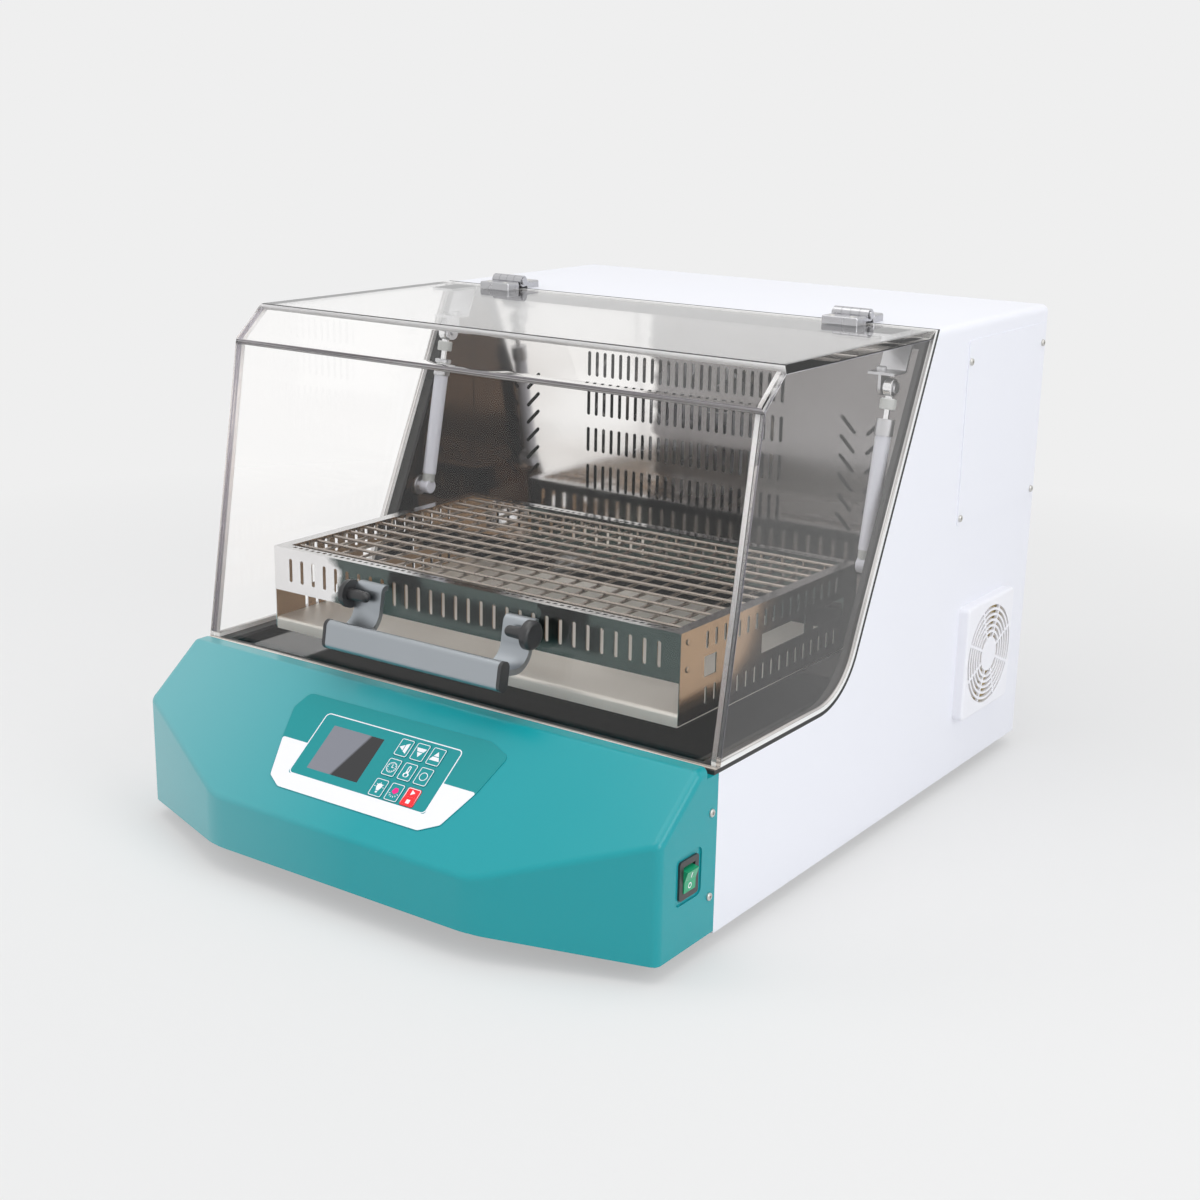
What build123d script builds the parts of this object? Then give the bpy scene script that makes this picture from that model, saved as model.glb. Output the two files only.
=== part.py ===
from build123d import *
from math import asin, atan2, cos, hypot, radians, sin
import os

os.makedirs("parts", exist_ok=True)

# Incubated benchtop shaker, in millimetres. X is to the right, Y to the back, Z up.
# The origin is on the bench, under the middle of the 600 mm wide cabinet.

# Cabinet
HALF_WIDTH = 300.0
BACK = 395.0
TOP = 493.0
UNDERSIDE = 14.0
JOINT_Y = -247.4            # plane where the steel shell meets the moulded front cover
SHEET = 1.5
FOLD_R = 8.0
SILL_Z = 161.0
SILL_DEPTH = 11.0
OPENING_TOP_Y = 127.5
OPENING_LEAN = 0.46         # run of the opening edge in Y for each millimetre in Z
OPENING_R = 75.0
BAND_INNER = 281.0          # inner edge of the frame that carries the gasket
LEAN_LENGTH = hypot(1, OPENING_LEAN)
ACCESS_Y = (197.5, 388.9)
ACCESS_Z = (288.9, 475.2)
ACCESS_SHEET = 1.2
ACCESS_SCREWS = ((202.6, 453.8), (385.8 - 2, 453.8), (202.6, 293.6 + 2), (385.8 - 2, 293.6 + 2))
REAR_Y = (389.0, 390.5)
REAR_MID_Z = 254.0
REAR_HEIGHT = 470.0
VENT = (60.0, 6.0)            # length and width of one vent
VENT_X = (-180.0, -100.0, 100.0, 180.0)
VENT_Z = range(200, 440, 20)
INLET_X = -200.0
INLET_Z = 70.0
INLET_WIDTH = 28.0
INLET_HEIGHT = 20.5
INLET_FLANGE = (50.0, 30.0)
INLET_BLADES = (-7.0, 0.0, 7.0)
FOOT_XY = ((-230, -270), (230, -270), (-230, 330), (230, 330))
FOOT_R = 20.0
PAN_INSET = 30.0
FOOT_STUD_R = 3.0
PAN_HEIGHT = 22.0
PAN_SHEET = 2.0

# Front cover
FRONT = -395.9
SHOULDER_Y = -334.3
SHOULDER_Z = 124.8
SLOPE_RATIO = 0.774
FACET_HALF = 152.0
FACET_R = 70.0
SHOULDER_R = 10.0
CREASE_R = 8.0
LIP_Z = 169.8
LEDGE_BACK = -260.0
COVER_WALL = 3.0
COVER_BOTTOM = 16.5
COVER_BOTTOM_MID = 27.0
SWITCH_Y = (-302.0, -277.0)
SWITCH_Z = (66.0, 97.0)
SWITCH_RECESS_Y = (-309.5, -270.0)
SWITCH_RECESS_Z = (60.0, 104.0)
SWITCH_RECESS = 1.6
SWITCH_MID = ((SWITCH_Y[0] + SWITCH_Y[1]) / 2, (SWITCH_Z[0] + SWITCH_Z[1]) / 2)
ROCKER_AXIS_X = 293.0
ROCKER_TILT = 10.0
COVER_SCREWS = ((-257.3, 128.4), (-257.3, 52.3))
SCREW_SHANK_R = 2.0
SCREW_HEAD_R = 3.6
SCREW_HEAD = 2.2

# Control panel, in its own frame: u to the right, s up the slope from the shoulder line
OVERLAY = 0.6
KEY_COLUMNS = ((8.0, 23.0), (26.5, 41.5), (45.0, 60.0))
KEY_ROWS = ((-32.5, -14.0), (-10.25, 8.25), (11.5, 30.0))
KEY_GAP = 0.3
KEY_PROUD = 0.5
LCD = (-70.6, -9.8, -24.8, 23.2)
BOARD_DEPTH = 12.0
SLOPE_ANGLE = atan2(SLOPE_RATIO, 1)
PANEL_NORMAL = (0, -sin(SLOPE_ANGLE), cos(SLOPE_ANGLE))
PANEL = Plane(origin=(0, SHOULDER_Y, SHOULDER_Z), x_dir=(1, 0, 0), z_dir=PANEL_NORMAL)
BOARD = (190.0, 92.0)
FILM_CORNERS = ((-118.5, -1, 3), (-104, -42, 5), (-88.4, -51, 8), (78.6, -51, 8), (97, -40, 5),
                (112.2, -1, 3), (121, 40, 6), (96, 50, 8), (-120, 49, 8), (-127.5, 30.5, 4))

# Lid
LID_SHEET = 8.0
GASKET = 4.0
EDGE_STRIP = 4.0
LID_TOP_FRONT = (-167.3, TOP)
LID_CHAMFER = (-202.9, 462.1)
LID_FOOT = (-253.7, 164.8)
HINGE_Y = 121.0
HINGE_Z = 501.0
BARREL_R = 6.0
PIN_R = 2.5
RUN = 0.05                  # radial running clearance of a pin in its bore
KNUCKLES = 4
HINGE_X = (191.0, 230.0)
LEAF = 7.5
GASKET_CLEAR = 0.3
STRIP_OUTER = GASKET
STRIP_INNER = GASKET + EDGE_STRIP
LID_LEAF_Y = (93.0, 113.5)
CABINET_LEAF_Y = (128.5, 149.0)

# Handle, in the frame of the lid's front: v up the sheet, w out of it
FACE_ANGLE = atan2(LID_CHAMFER[0] - LID_FOOT[0], LID_CHAMFER[1] - LID_FOOT[1])
FACE_NORMAL = (0, -cos(FACE_ANGLE), sin(FACE_ANGLE))
BAR_V = 43.7
BAR_W = 42.3
BAR_HEIGHT = 27.0
BAR_THICK = 12.0
BAR_HALF = 101.0
PLATE_X = (72.0, 104.0)
END_CAP = 3.5
CAP_V = 79.5
CAP_W = 14.0
CAP_R = 13.5
CAP_THICK = 8.0
FINGER_W = 16.0
FINGER_R = (6.0, 5.0)
FINGER_LENGTH = 25.0

# Gas struts
STRUT_X = 268.5
STRUT_HIGH = (85.0, 440.0)
STRUT_LOW = (51.0, 274.0)
TUBE_R = 7.5
ROD_R = 3.0
EYE_R = 9.0
STRUT_RUN = hypot(STRUT_HIGH[0] - STRUT_LOW[0], STRUT_HIGH[1] - STRUT_LOW[1])
STRUT_UP = ((STRUT_HIGH[0] - STRUT_LOW[0]) / STRUT_RUN, (STRUT_HIGH[1] - STRUT_LOW[1]) / STRUT_RUN)
TUBE_START = 14.0
TUBE_END = 138.0
ROD_START = 60.0
CUP_R = 7.5                 # plastic cup between the rod and its upper eye
CUP_LENGTH = 10.0
CUP_DROP = 10.5             # from the upper pivot down to the cup
STUD_R = 3.0
EYE_X = (STRUT_X - 4.5, STRUT_X + 4.5)
BRACKET_X = (250.0, 277.5)
BRACKET_SHEET = 2.5

# Chamber
CHAMBER_HALF = 280.0
FLOOR_Z = 158.0
CHAMBER_TOP = 474.0
CHAMBER_BACK = 213.0
DUCT_Y = 147.0
LINER = 1.5
DUCT_ROWS = (290.5, 332.0, 372.5, 413.5)
DUCT_COLUMNS = 24
DUCT_PITCH = 10.28
SLANT_ROWS = (295.0, 315.3, 335.5, 355.6, 375.3, 395.0)
HEATER_R = 92.0
HEATER_TUBE = 3.2
HEATER_Y = 180.0
HEATER_GAP = 40.0
PROBE_X = 209.0
DUCT_SLOT = (27.0, 4.0)
SLANT_SLOT = (24.0, 4.0)
SLANT_X = (194.5, 224.0)

# Tray
TRAY_HALF = 240.4
TRAY_FRONT = -216.0
TRAY_BACK = 95.0
TRAY_TOP = 263.0
TRAY_SHEET = 1.2
PLATFORM_TOP = 190.0
PLATFORM_SHEET = 3.0
RIM = 12.0
WIRE_R = 1.6
WIRE_PITCH = 24.3
SLOT_PITCH = 15.05
RIM_PITCH = 7.8
TRAY_MID = (TRAY_FRONT + TRAY_BACK) / 2
WALL_LOW = 180.0
FRONT_WALL_LOW = 218.5
BOSS_LOW = 165.0
RIVETS = ((TRAY_FRONT + 11.5, 253.0), (TRAY_FRONT + 11.5, 228.4),
          (TRAY_BACK - 11.5, 253.0), (TRAY_BACK - 11.5, 228.4))
WINDOWS = ((-177.0, -157.0), (-88.0, -7.0), (9.0, 69.0))
WINDOW_Z = (214.0, 233.0)
FRONT_SLOTS = (30, 240.8, 24.0)         # count, height of their middle, length
SIDE_SLOTS = ((16, 248.0, 16.0), (16, 197.0, 16.0))

# Orbital drive
ORBIT = 10.0
CRANK_Y = (TRAY_FRONT + TRAY_BACK) / 2 + ORBIT
IDLER_X = 150.0
CRANK_PULLEY_R = 60.0
MOTOR_PULLEY_R = 15.0
MOTOR_Y = 110.0
PULLEY_Z = (70.0, 84.0)
BELT = 3.0
SHAFT_R = 8.0
IDLER_SHAFT_R = 6.0
PIN_TOP = 186.0
DRIVE_HOLES = ((0.0, 24.0), (-IDLER_X, 20.0), (IDLER_X, 20.0))

# Fans
FAN_SIDE_Y = 279.4
FAN_SIDE_Z = 135.9
FAN_FRAME = 119.0
BLOWER_Z = 352.0
GUARD_X = (HALF_WIDTH, HALF_WIDTH + 12)
GUARD_R = 55.0
GUARD_HALF = 57.5
FAN_X = (264.0, 296.0)
FAN_SHAFT_R = 2.5
BLOWER_SHAFT_R = 4.0
GUARD_HUB_R = 18.5
GUARD_RINGS = (24.5, 30.5, 36.5, 42.5, 48.5)
GUARD_RIB = 2.6
GUARD_SPOKES = 8


# ---------------------------------------------------------------- helpers

def block(x, y, z):
    """Box between a low and a high limit on each axis."""
    size = Box(x[1] - x[0], y[1] - y[0], z[1] - z[0])
    return Pos((x[0] + x[1]) / 2, (y[0] + y[1]) / 2, (z[0] + z[1]) / 2) * size


def rod(start, end, radius):
    """Round bar from one point to another."""
    run = Vector(*end) - Vector(*start)
    low = (Align.CENTER, Align.CENTER, Align.MIN)
    return Plane(origin=start, z_dir=run) * Cylinder(radius, run.length, align=low)


def outline(corners):
    """Closed face through (u, v, radius) corners."""
    face = Polygon(*[(u, v) for u, v, _ in corners], align=None)
    for u, v, radius in corners:
        if radius:
            corner = face.vertices().sort_by_distance((u, v, 0))[0]
            face = fillet(corner, radius)
    return face


def sharp(points):
    """Outline corners without rounding."""
    return [(u, v, 0) for u, v in points]


def across(face, x):
    """A (y, z) face made solid from one x to another."""
    return extrude(Plane.YZ.offset(x[0]) * face, amount=x[1] - x[0], dir=(1, 0, 0))


def facing(face, y):
    """An (x, z) face made solid from one y to another."""
    return extrude(Plane.XZ.offset(-y[0]) * face, amount=y[1] - y[0], dir=(0, 1, 0))


def standing(face, z):
    """An (x, y) face made solid from one z to another."""
    return extrude(Plane.XY.offset(z[0]) * face, amount=z[1] - z[0], dir=(0, 0, 1))


def both_sides(solid):
    """The solid and its mirror image in the plane x = 0."""
    return Compound(children=[solid, mirror(solid, about=Plane.YZ)])


def parallel(points, distance):
    """Open polyline moved sideways to the left of its own direction."""
    moved = []
    for index, point in enumerate(points):
        normals = []
        for a, b in ((index - 1, index), (index, index + 1)):
            if a >= 0 and b < len(points):
                run = (points[b][0] - points[a][0], points[b][1] - points[a][1])
                length = hypot(*run)
                normals.append((-run[1] / length, run[0] / length))
        first, last = normals[0], normals[-1]
        scale = distance / (1 + first[0] * last[0] + first[1] * last[1])
        moved.append((point[0] + scale * (first[0] + last[0]), point[1] + scale * (first[1] + last[1])))
    return moved


def write(node, shape):
    """Write one sub-part."""
    export_step(shape, f"parts/{node}.step")


def opening_y(offset, z):
    """Y of the leaning opening edge, moved forwards by a square offset."""
    return OPENING_TOP_Y + OPENING_LEAN * (z - TOP) - offset * LEAN_LENGTH


def opening_edge(offset, top, front):
    """Corners of the opening edge from the top to the front, moved into the opening."""
    low = SILL_Z + offset
    corner = (opening_y(offset, low), low, OPENING_R - offset)
    return [(opening_y(offset, top), top, 0), corner, (front, low, 0)]


def opening_ribbon(near, far, top, front, x):
    """Band between two offsets of the opening edge."""
    inner = opening_edge(near, top, front)
    outer = opening_edge(far, top, front)
    return across(outline(inner + outer[::-1]), x)


def opening_bar(near, far, low, high, half):
    """Bar across the top of the opening, between two offsets of its edge."""
    corners = [(opening_y(near, low), low), (opening_y(near, high), high)]
    corners += [(opening_y(far, high), high), (opening_y(far, low), low)]
    return across(outline(sharp(corners)), (-half, half))


# ---------------------------------------------------------------- cabinet

def cover_plan(inset, back):
    """Plan of the faceted front cover."""
    side = HALF_WIDTH - inset
    turn = atan2(SHOULDER_Y - FRONT, HALF_WIDTH - FACET_HALF)
    shoulder = SHOULDER_Y + inset * (1 / cos(turn) - sin(turn) / cos(turn))
    facet = FACET_HALF - inset * (1 - cos(turn)) / sin(turn)
    front = FRONT + inset
    right = [(side, back, 0), (side, shoulder, SHOULDER_R), (facet, front, FACET_R)]
    left = [(-u, v, radius) for u, v, radius in right[::-1]]
    return outline(right + left)


def slope_z(y):
    """Height of the slope's surface."""
    return SHOULDER_Z + SLOPE_RATIO * (y - SHOULDER_Y)


def cover_profile(inset, back):
    """Side view of the front cover, with its slope and lip."""
    drop = inset * hypot(1, SLOPE_RATIO)
    lip = LIP_Z - inset
    lip_y = SHOULDER_Y + (lip - SHOULDER_Z + drop) / SLOPE_RATIO
    low = slope_z(FRONT - 20) - drop
    ledge = LEDGE_BACK - inset
    step = SILL_Z - inset
    corners = [(FRONT - 20, 0, 0), (FRONT - 20, low, 0), (lip_y, lip, 5.0 - inset)]
    corners += [(ledge, lip, 3.0 - min(inset, 2.5)), (ledge, step, 0), (back, step, 0), (back, 0, 0)]
    return outline(corners)


def cover_body(inset, back, crease):
    """Solid form of the front cover."""
    plan = standing(cover_plan(inset, back), (0, 200))
    side = across(cover_profile(inset, back), (-HALF_WIDTH - 10, HALF_WIDTH + 10))
    body = plan & side
    slope = body.faces().filter_by(lambda f: f.normal_at().dot(Vector(*PANEL_NORMAL)) > 0.999)[0]
    rim = slope.edges().sort_by(Axis.Z)[:-1]
    return fillet(rim, crease)


def on_panel(face, low, high):
    """A (u, s) face made solid between two heights above the slope."""
    return extrude(PANEL.offset(low) * face, amount=high - low, dir=PANEL_NORMAL)


def key_face(column, row, grow):
    """Rounded key outline, grown by a clearance."""
    u, s = KEY_COLUMNS[column], KEY_ROWS[row]
    centre = Pos((u[0] + u[1]) / 2, (s[0] + s[1]) / 2)
    return centre * RectangleRounded(u[1] - u[0] + 2 * grow, s[1] - s[0] + 2 * grow, 2.0 + grow)


def lcd_face(grow):
    """Display window outline."""
    centre = Pos((LCD[0] + LCD[1]) / 2, (LCD[2] + LCD[3]) / 2)
    return centre * Rectangle(LCD[1] - LCD[0] + 2 * grow, LCD[3] - LCD[2] + 2 * grow)


def all_keys():
    """Column and row of every key."""
    return [(column, row) for row in range(3) for column in range(3)]


def front_cover():
    """Moulded cover: a 3 mm shell with holes for keys, display, switch and screws."""
    outer = cover_body(0, JOINT_Y, CREASE_R)
    inner = cover_body(COVER_WALL, JOINT_Y + 5, CREASE_R - COVER_WALL)
    rise = outline(sharp([(-HALF_WIDTH - 1, -1), (-HALF_WIDTH - 1, COVER_BOTTOM),
                          (-FACET_HALF, COVER_BOTTOM_MID), (FACET_HALF, COVER_BOTTOM_MID),
                          (HALF_WIDTH + 1, COVER_BOTTOM), (HALF_WIDTH + 1, -1)]))
    below = facing(rise, (FRONT - 5, SHOULDER_Y))
    flat = block((-310, 310), (FRONT - 5, 0), (-1, COVER_BOTTOM))
    keys = [on_panel(key_face(column, row, KEY_GAP), -12, 5) for column, row in all_keys()]
    window = on_panel(lcd_face(-2), -12, 5)
    (front, back), (low, high) = SWITCH_RECESS_Y, SWITCH_RECESS_Z
    recess = Pos((front + back) / 2, (low + high) / 2) * RectangleRounded(back - front, high - low, 6)
    shallow = across(recess, (HALF_WIDTH - SWITCH_RECESS, HALF_WIDTH + 1))
    bay = block((280, 301), (SWITCH_Y[0] + 1.5, SWITCH_Y[1] - 1.5), (SWITCH_Z[0] + 1.5, SWITCH_Z[1] - 1.5))
    holes = [rod((s * 290, y, z), (s * 301, y, z), SCREW_SHANK_R) for s in (-1, 1) for y, z in COVER_SCREWS]
    return outer - inner - below - flat - keys - window - shallow - bay - holes


def shell_outline(inset, front):
    """Side view of the shell, as a closed face."""
    back = BACK + 10 if inset else BACK
    low = -10 if inset else UNDERSIDE
    edge = opening_edge(0, TOP, front)
    return outline([(front, low, 0), (back, low, 0), (back, TOP - inset, 0)] + edge)


def cabinet_shell():
    """Folded steel sides and top, with the frame that turns in round the opening."""
    outer = across(shell_outline(0, JOINT_Y), (-HALF_WIDTH, HALF_WIDTH))
    outer = fillet(outer.edges().filter_by(Axis.Y).group_by(Axis.Z)[-1], FOLD_R)
    hollow = block((-HALF_WIDTH + SHEET, HALF_WIDTH - SHEET), (-400, BACK + 5), (-10, TOP - SHEET))
    hollow = fillet(hollow.edges().filter_by(Axis.Y).group_by(Axis.Z)[-1], FOLD_R - SHEET)
    side = opening_ribbon(-SHEET, 0, TOP - SHEET, JOINT_Y, (BAND_INNER + 0.5, HALF_WIDTH - SHEET / 2))
    header = opening_bar(-SHEET, 0, CHAMBER_TOP + 1.5, TOP - SHEET / 2, HALF_WIDTH - SHEET / 2)
    half = HALF_WIDTH - SHEET
    sill = block((-half, half), (JOINT_Y, JOINT_Y + SILL_DEPTH), (SILL_Z - SHEET, SILL_Z))
    shell = outer - hollow + side + mirror(side, about=Plane.YZ) + header + sill
    guard = rod((250, FAN_SIDE_Y, FAN_SIDE_Z), (310, FAN_SIDE_Y, FAN_SIDE_Z), 54)
    shell -= guard
    for y, z in ACCESS_SCREWS:
        shell -= rod((290, y, z), (310, y, z), SCREW_SHANK_R)
    return shell


def access_panel():
    """Flat service plate on the right side."""
    centre = Pos((ACCESS_Y[0] + ACCESS_Y[1]) / 2, (ACCESS_Z[0] + ACCESS_Z[1]) / 2)
    face = centre * RectangleRounded(ACCESS_Y[1] - ACCESS_Y[0], ACCESS_Z[1] - ACCESS_Z[0], 3)
    face -= [Pos(y, z) * Circle(SCREW_SHANK_R) for y, z in ACCESS_SCREWS]
    return across(face, (HALF_WIDTH, HALF_WIDTH + ACCESS_SHEET))


def screw(x, y, z, side):
    """Pan-head screw lying along X, its head outwards."""
    out = x + side * SCREW_HEAD
    head = rod((x, y, z), (out, y, z), SCREW_HEAD_R)
    head = fillet(head.edges().sort_by(Axis.X)[-1 if side > 0 else 0], 1.2)
    socket = rod((out - side * 1.2, y, z), (out + side, y, z), 1.3)
    return head - socket + rod((x, y, z), (x - side * 3.4, y, z), SCREW_SHANK_R)


def case_screws():
    """Screws of the access panel and of the front cover."""
    screws = [screw(HALF_WIDTH + ACCESS_SHEET, y, z, 1) for y, z in ACCESS_SCREWS]
    screws += [screw(s * HALF_WIDTH, y, z, s) for s in (-1, 1) for y, z in COVER_SCREWS]
    return Compound(children=screws)


def rear_panel():
    """Back plate with two fields of vents and the cut-out of the power inlet."""
    face = Pos(0, REAR_MID_Z) * RectangleRounded(2 * (HALF_WIDTH - SHEET) - 1, REAR_HEIGHT, FOLD_R)
    vents = [Pos(x, z) * SlotOverall(*VENT) for x in VENT_X for z in VENT_Z]
    inlet = Pos(INLET_X, INLET_Z) * Rectangle(INLET_WIDTH, INLET_HEIGHT)
    return facing(face - vents - inlet, REAR_Y)


def power_inlet():
    """Appliance inlet with three blades in a recess."""
    low = REAR_Y[1]
    flange = facing(Pos(INLET_X, INLET_Z) * RectangleRounded(*INLET_FLANGE, 4), (low, low + 3))
    body = facing(Pos(INLET_X, INLET_Z) * Rectangle(INLET_WIDTH - 1, INLET_HEIGHT - 1), (low - 22, low))
    cavity = facing(Pos(INLET_X, INLET_Z) * Rectangle(24, 16.5), (low - 16, low + 4))
    blades = [block((INLET_X + x - 1, INLET_X + x + 1), (low - 17, low - 2), (INLET_Z - 2, INLET_Z + 4))
              for x in INLET_BLADES]
    return flange + body - cavity + blades


def base_pan():
    """Folded bottom pan that carries the drive and stands on the feet."""
    height = (UNDERSIDE, UNDERSIDE + PAN_HEIGHT)
    inside = (UNDERSIDE + PAN_SHEET, UNDERSIDE + PAN_HEIGHT + 1)
    pan = standing(cover_plan(PAN_INSET, JOINT_Y + 20), height)
    pan += block((-HALF_WIDTH + SHEET, HALF_WIDTH - SHEET), (JOINT_Y, REAR_Y[0]), height)
    pan -= standing(cover_plan(PAN_INSET + PAN_SHEET, JOINT_Y + 20), inside)
    side = HALF_WIDTH - SHEET - PAN_SHEET
    pan -= block((-side, side), (JOINT_Y + PAN_SHEET, REAR_Y[0] - PAN_SHEET), inside)
    return pan - [rod((x, y, 0), (x, y, UNDERSIDE + PAN_HEIGHT), FOOT_STUD_R) for x, y in FOOT_XY]


def feet():
    """Four rubber feet with studs."""
    solids = []
    for x, y in FOOT_XY:
        foot = rod((x, y, 0), (x, y, UNDERSIDE), FOOT_R)
        foot = fillet(foot.edges().sort_by(Axis.Z)[0], 2)
        solids.append(foot + rod((x, y, UNDERSIDE - 1), (x, y, UNDERSIDE + 6), FOOT_STUD_R))
    return Compound(children=solids)


# ---------------------------------------------------------------- control panel

def panel_overlay():
    """Printed film on the slope, cut out for the keys."""
    face = outline(FILM_CORNERS)
    face -= [key_face(column, row, KEY_GAP) for column, row in all_keys()]
    return on_panel(face - lcd_face(0), 0, OVERLAY)


def lcd_window():
    """Clear window of the display, flush in the film."""
    return on_panel(lcd_face(0), 0, OVERLAY)


def key(column, row):
    """One key cap with its stem, standing just proud of the film."""
    cap = on_panel(key_face(column, row, 0), -COVER_WALL, OVERLAY + KEY_PROUD)
    u, s = KEY_COLUMNS[column], KEY_ROWS[row]
    stem = Pos((u[0] + u[1]) / 2, (s[0] + s[1]) / 2) * Circle(2.5)
    return cap + on_panel(stem, -BOARD_DEPTH + 4.6, -COVER_WALL)


def control_board():
    """Circuit board with the display module, key switches and power parts."""
    board = on_panel(Pos(-5, 0) * Rectangle(*BOARD), -BOARD_DEPTH - 1.6, -BOARD_DEPTH)
    module = on_panel(lcd_face(-1), -BOARD_DEPTH, -COVER_WALL - 0.5)
    switches = []
    for column, row in all_keys():
        u, s = KEY_COLUMNS[column], KEY_ROWS[row]
        centre = Pos((u[0] + u[1]) / 2, (s[0] + s[1]) / 2)
        switches.append(on_panel(centre * Rectangle(6, 6), -BOARD_DEPTH, -BOARD_DEPTH + 3.6))
    power = [on_panel(Pos(-60, 0) * Rectangle(45, 50), -BOARD_DEPTH - 30, -BOARD_DEPTH - 1.6)]
    power += [on_panel(Pos(u, -15) * Circle(9), -BOARD_DEPTH - 24, -BOARD_DEPTH - 1.6) for u in (0, 24, 48)]
    post = Circle(3)
    posts = [on_panel(Pos(u, s) * post, -BOARD_DEPTH, -COVER_WALL) for u in (-95, 85) for s in (-41, 41)]
    return board + module + switches + power + posts


def power_switch_bezel():
    """Black frame and housing of the power switch."""
    floor_x = HALF_WIDTH - SWITCH_RECESS
    y, z = SWITCH_MID
    wide, tall = SWITCH_Y[1] - SWITCH_Y[0], SWITCH_Z[1] - SWITCH_Z[0]
    centre = Pos(y, z)
    flange = across(centre * RectangleRounded(wide + 4, tall + 4, 3), (floor_x, floor_x + 2))
    body = across(centre * Rectangle(wide - 4, tall - 4), (floor_x - 20, floor_x))
    cavity = across(centre * Rectangle(wide - 7, tall - 7), (floor_x - 15, floor_x + 5))
    pin = rod((ROCKER_AXIS_X, SWITCH_Y[0] + 2.5, z), (ROCKER_AXIS_X, SWITCH_Y[1] - 2.5, z), 1.2)
    return flange + body - cavity + pin


def power_switch_rocker():
    """Green rocker, pressed in at its lower half."""
    y, z = SWITCH_MID
    half = (SWITCH_Z[1] - SWITCH_Z[0]) / 2 - 5.6
    wide = (SWITCH_Y[1] - SWITCH_Y[0]) / 2 - 3.8
    face_x = 302.0
    sink = half * sin(radians(ROCKER_TILT))
    corners = [(ROCKER_AXIS_X - 5, z - 6), (ROCKER_AXIS_X + 2, z - half), (face_x + sink * 0.6, z - half)]
    corners += [(face_x - sink * 0.2, z), (face_x + sink * 0.6, z + half)]
    corners += [(ROCKER_AXIS_X + 2, z + half), (ROCKER_AXIS_X - 5, z + 6)]
    rocker = facing(outline(sharp(corners)), (y - wide, y + wide))
    rocker -= rod((ROCKER_AXIS_X, y - 20, z), (ROCKER_AXIS_X, y + 20, z), 1.2 + RUN)
    pivot = Axis((ROCKER_AXIS_X, y, z), (0, 1, 0))
    return rocker.rotate(pivot, ROCKER_TILT)


# ---------------------------------------------------------------- side fan


def fan_guard():
    """Square plastic guard with rings and spokes in front of the filter."""
    centre = Pos(FAN_SIDE_Y, FAN_SIDE_Z)
    plate = RectangleRounded(2 * GUARD_HALF, 2 * GUARD_HALF + 8, 6) - Circle(GUARD_R - 2)
    frame = across(centre * plate, GUARD_X)
    frame = fillet(frame.faces().sort_by(Axis.X)[-1].outer_wire().edges(), 3)
    rings = Sketch() + Circle(GUARD_HUB_R)
    for radius in GUARD_RINGS:
        rings += Circle(radius + GUARD_RIB / 2) - Circle(radius - GUARD_RIB / 2)
    turns = [360 / GUARD_SPOKES * (i + 0.5) for i in range(GUARD_SPOKES)]
    spoke = Pos(GUARD_R / 2, 0) * Rectangle(GUARD_R + 2, GUARD_RIB)
    bars = Sketch() + [Rot(0, 0, turn) * spoke for turn in turns]
    grille = across(centre * ((rings + bars) & Circle(GUARD_R - 1)), (GUARD_X[1] - 3, GUARD_X[1]))
    return frame + grille


def fan_filter():
    """Filter mat between the guard and the side of the cabinet."""
    mat = Pos(FAN_SIDE_Y, FAN_SIDE_Z) * Circle(GUARD_R - 2.3)
    return across(mat, (GUARD_X[0], GUARD_X[0] + 7))


def cooling_fan_frame():
    """Square fan housing with a hub on three arms."""
    centre = Pos(FAN_SIDE_Y, FAN_SIDE_Z)
    frame = across(centre * (RectangleRounded(FAN_FRAME, FAN_FRAME, 5) - Circle(56)), FAN_X)
    arms = [Rot(0, 0, 90 + 120 * i) * Pos(38, 0) * Rectangle(40, 5) for i in range(3)]
    hub = across(centre * (Circle(22) + arms), (FAN_X[0], FAN_X[0] + 4))
    bore = rod((250, FAN_SIDE_Y, FAN_SIDE_Z), (290, FAN_SIDE_Y, FAN_SIDE_Z), FAN_SHAFT_R + RUN)
    return frame + hub - bore


def fan_blades(count, hub_r, tip_r, width, twist, plane):
    """Flat blades round a hub, each turned out of the fan's plane."""
    blade = Box(tip_r - hub_r + 4, 2.0, width)
    blade = Pos((tip_r + hub_r) / 2 - 2, 0, 0) * Rot(twist, 0, 0) * blade
    blades = [Rot(0, 0, 360 / count * i) * blade for i in range(count)]
    ring = Cylinder(hub_r, width * cos(radians(twist)))
    return plane * (ring + blades)


def cooling_fan_impeller():
    """Axial fan wheel with its shaft."""
    plane = Plane(origin=(282, FAN_SIDE_Y, FAN_SIDE_Z), z_dir=(1, 0, 0))
    shaft = rod((FAN_X[0] + 0.5, FAN_SIDE_Y, FAN_SIDE_Z), (282, FAN_SIDE_Y, FAN_SIDE_Z), FAN_SHAFT_R)
    return fan_blades(7, 22, 52, 24, 50, plane) + shaft


# ---------------------------------------------------------------- chamber

def chamber_profile(inset):
    """Side view of the chamber, grown outwards by the thickness of its sheet."""
    front = JOINT_Y + SILL_DEPTH
    edge = opening_edge(0, CHAMBER_TOP + inset, front)
    low = FLOOR_Z - inset
    back = CHAMBER_BACK + inset
    return outline([(front, low, 0), (back, low, 0), (back, CHAMBER_TOP + inset, 0)] + edge)


def heater_ends():
    """X and Z of the two ends of the heater's ring."""
    turn = radians(HEATER_GAP / 2)
    return [(s * HEATER_R * sin(turn), BLOWER_Z - HEATER_R * cos(turn)) for s in (-1, 1)]


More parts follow.
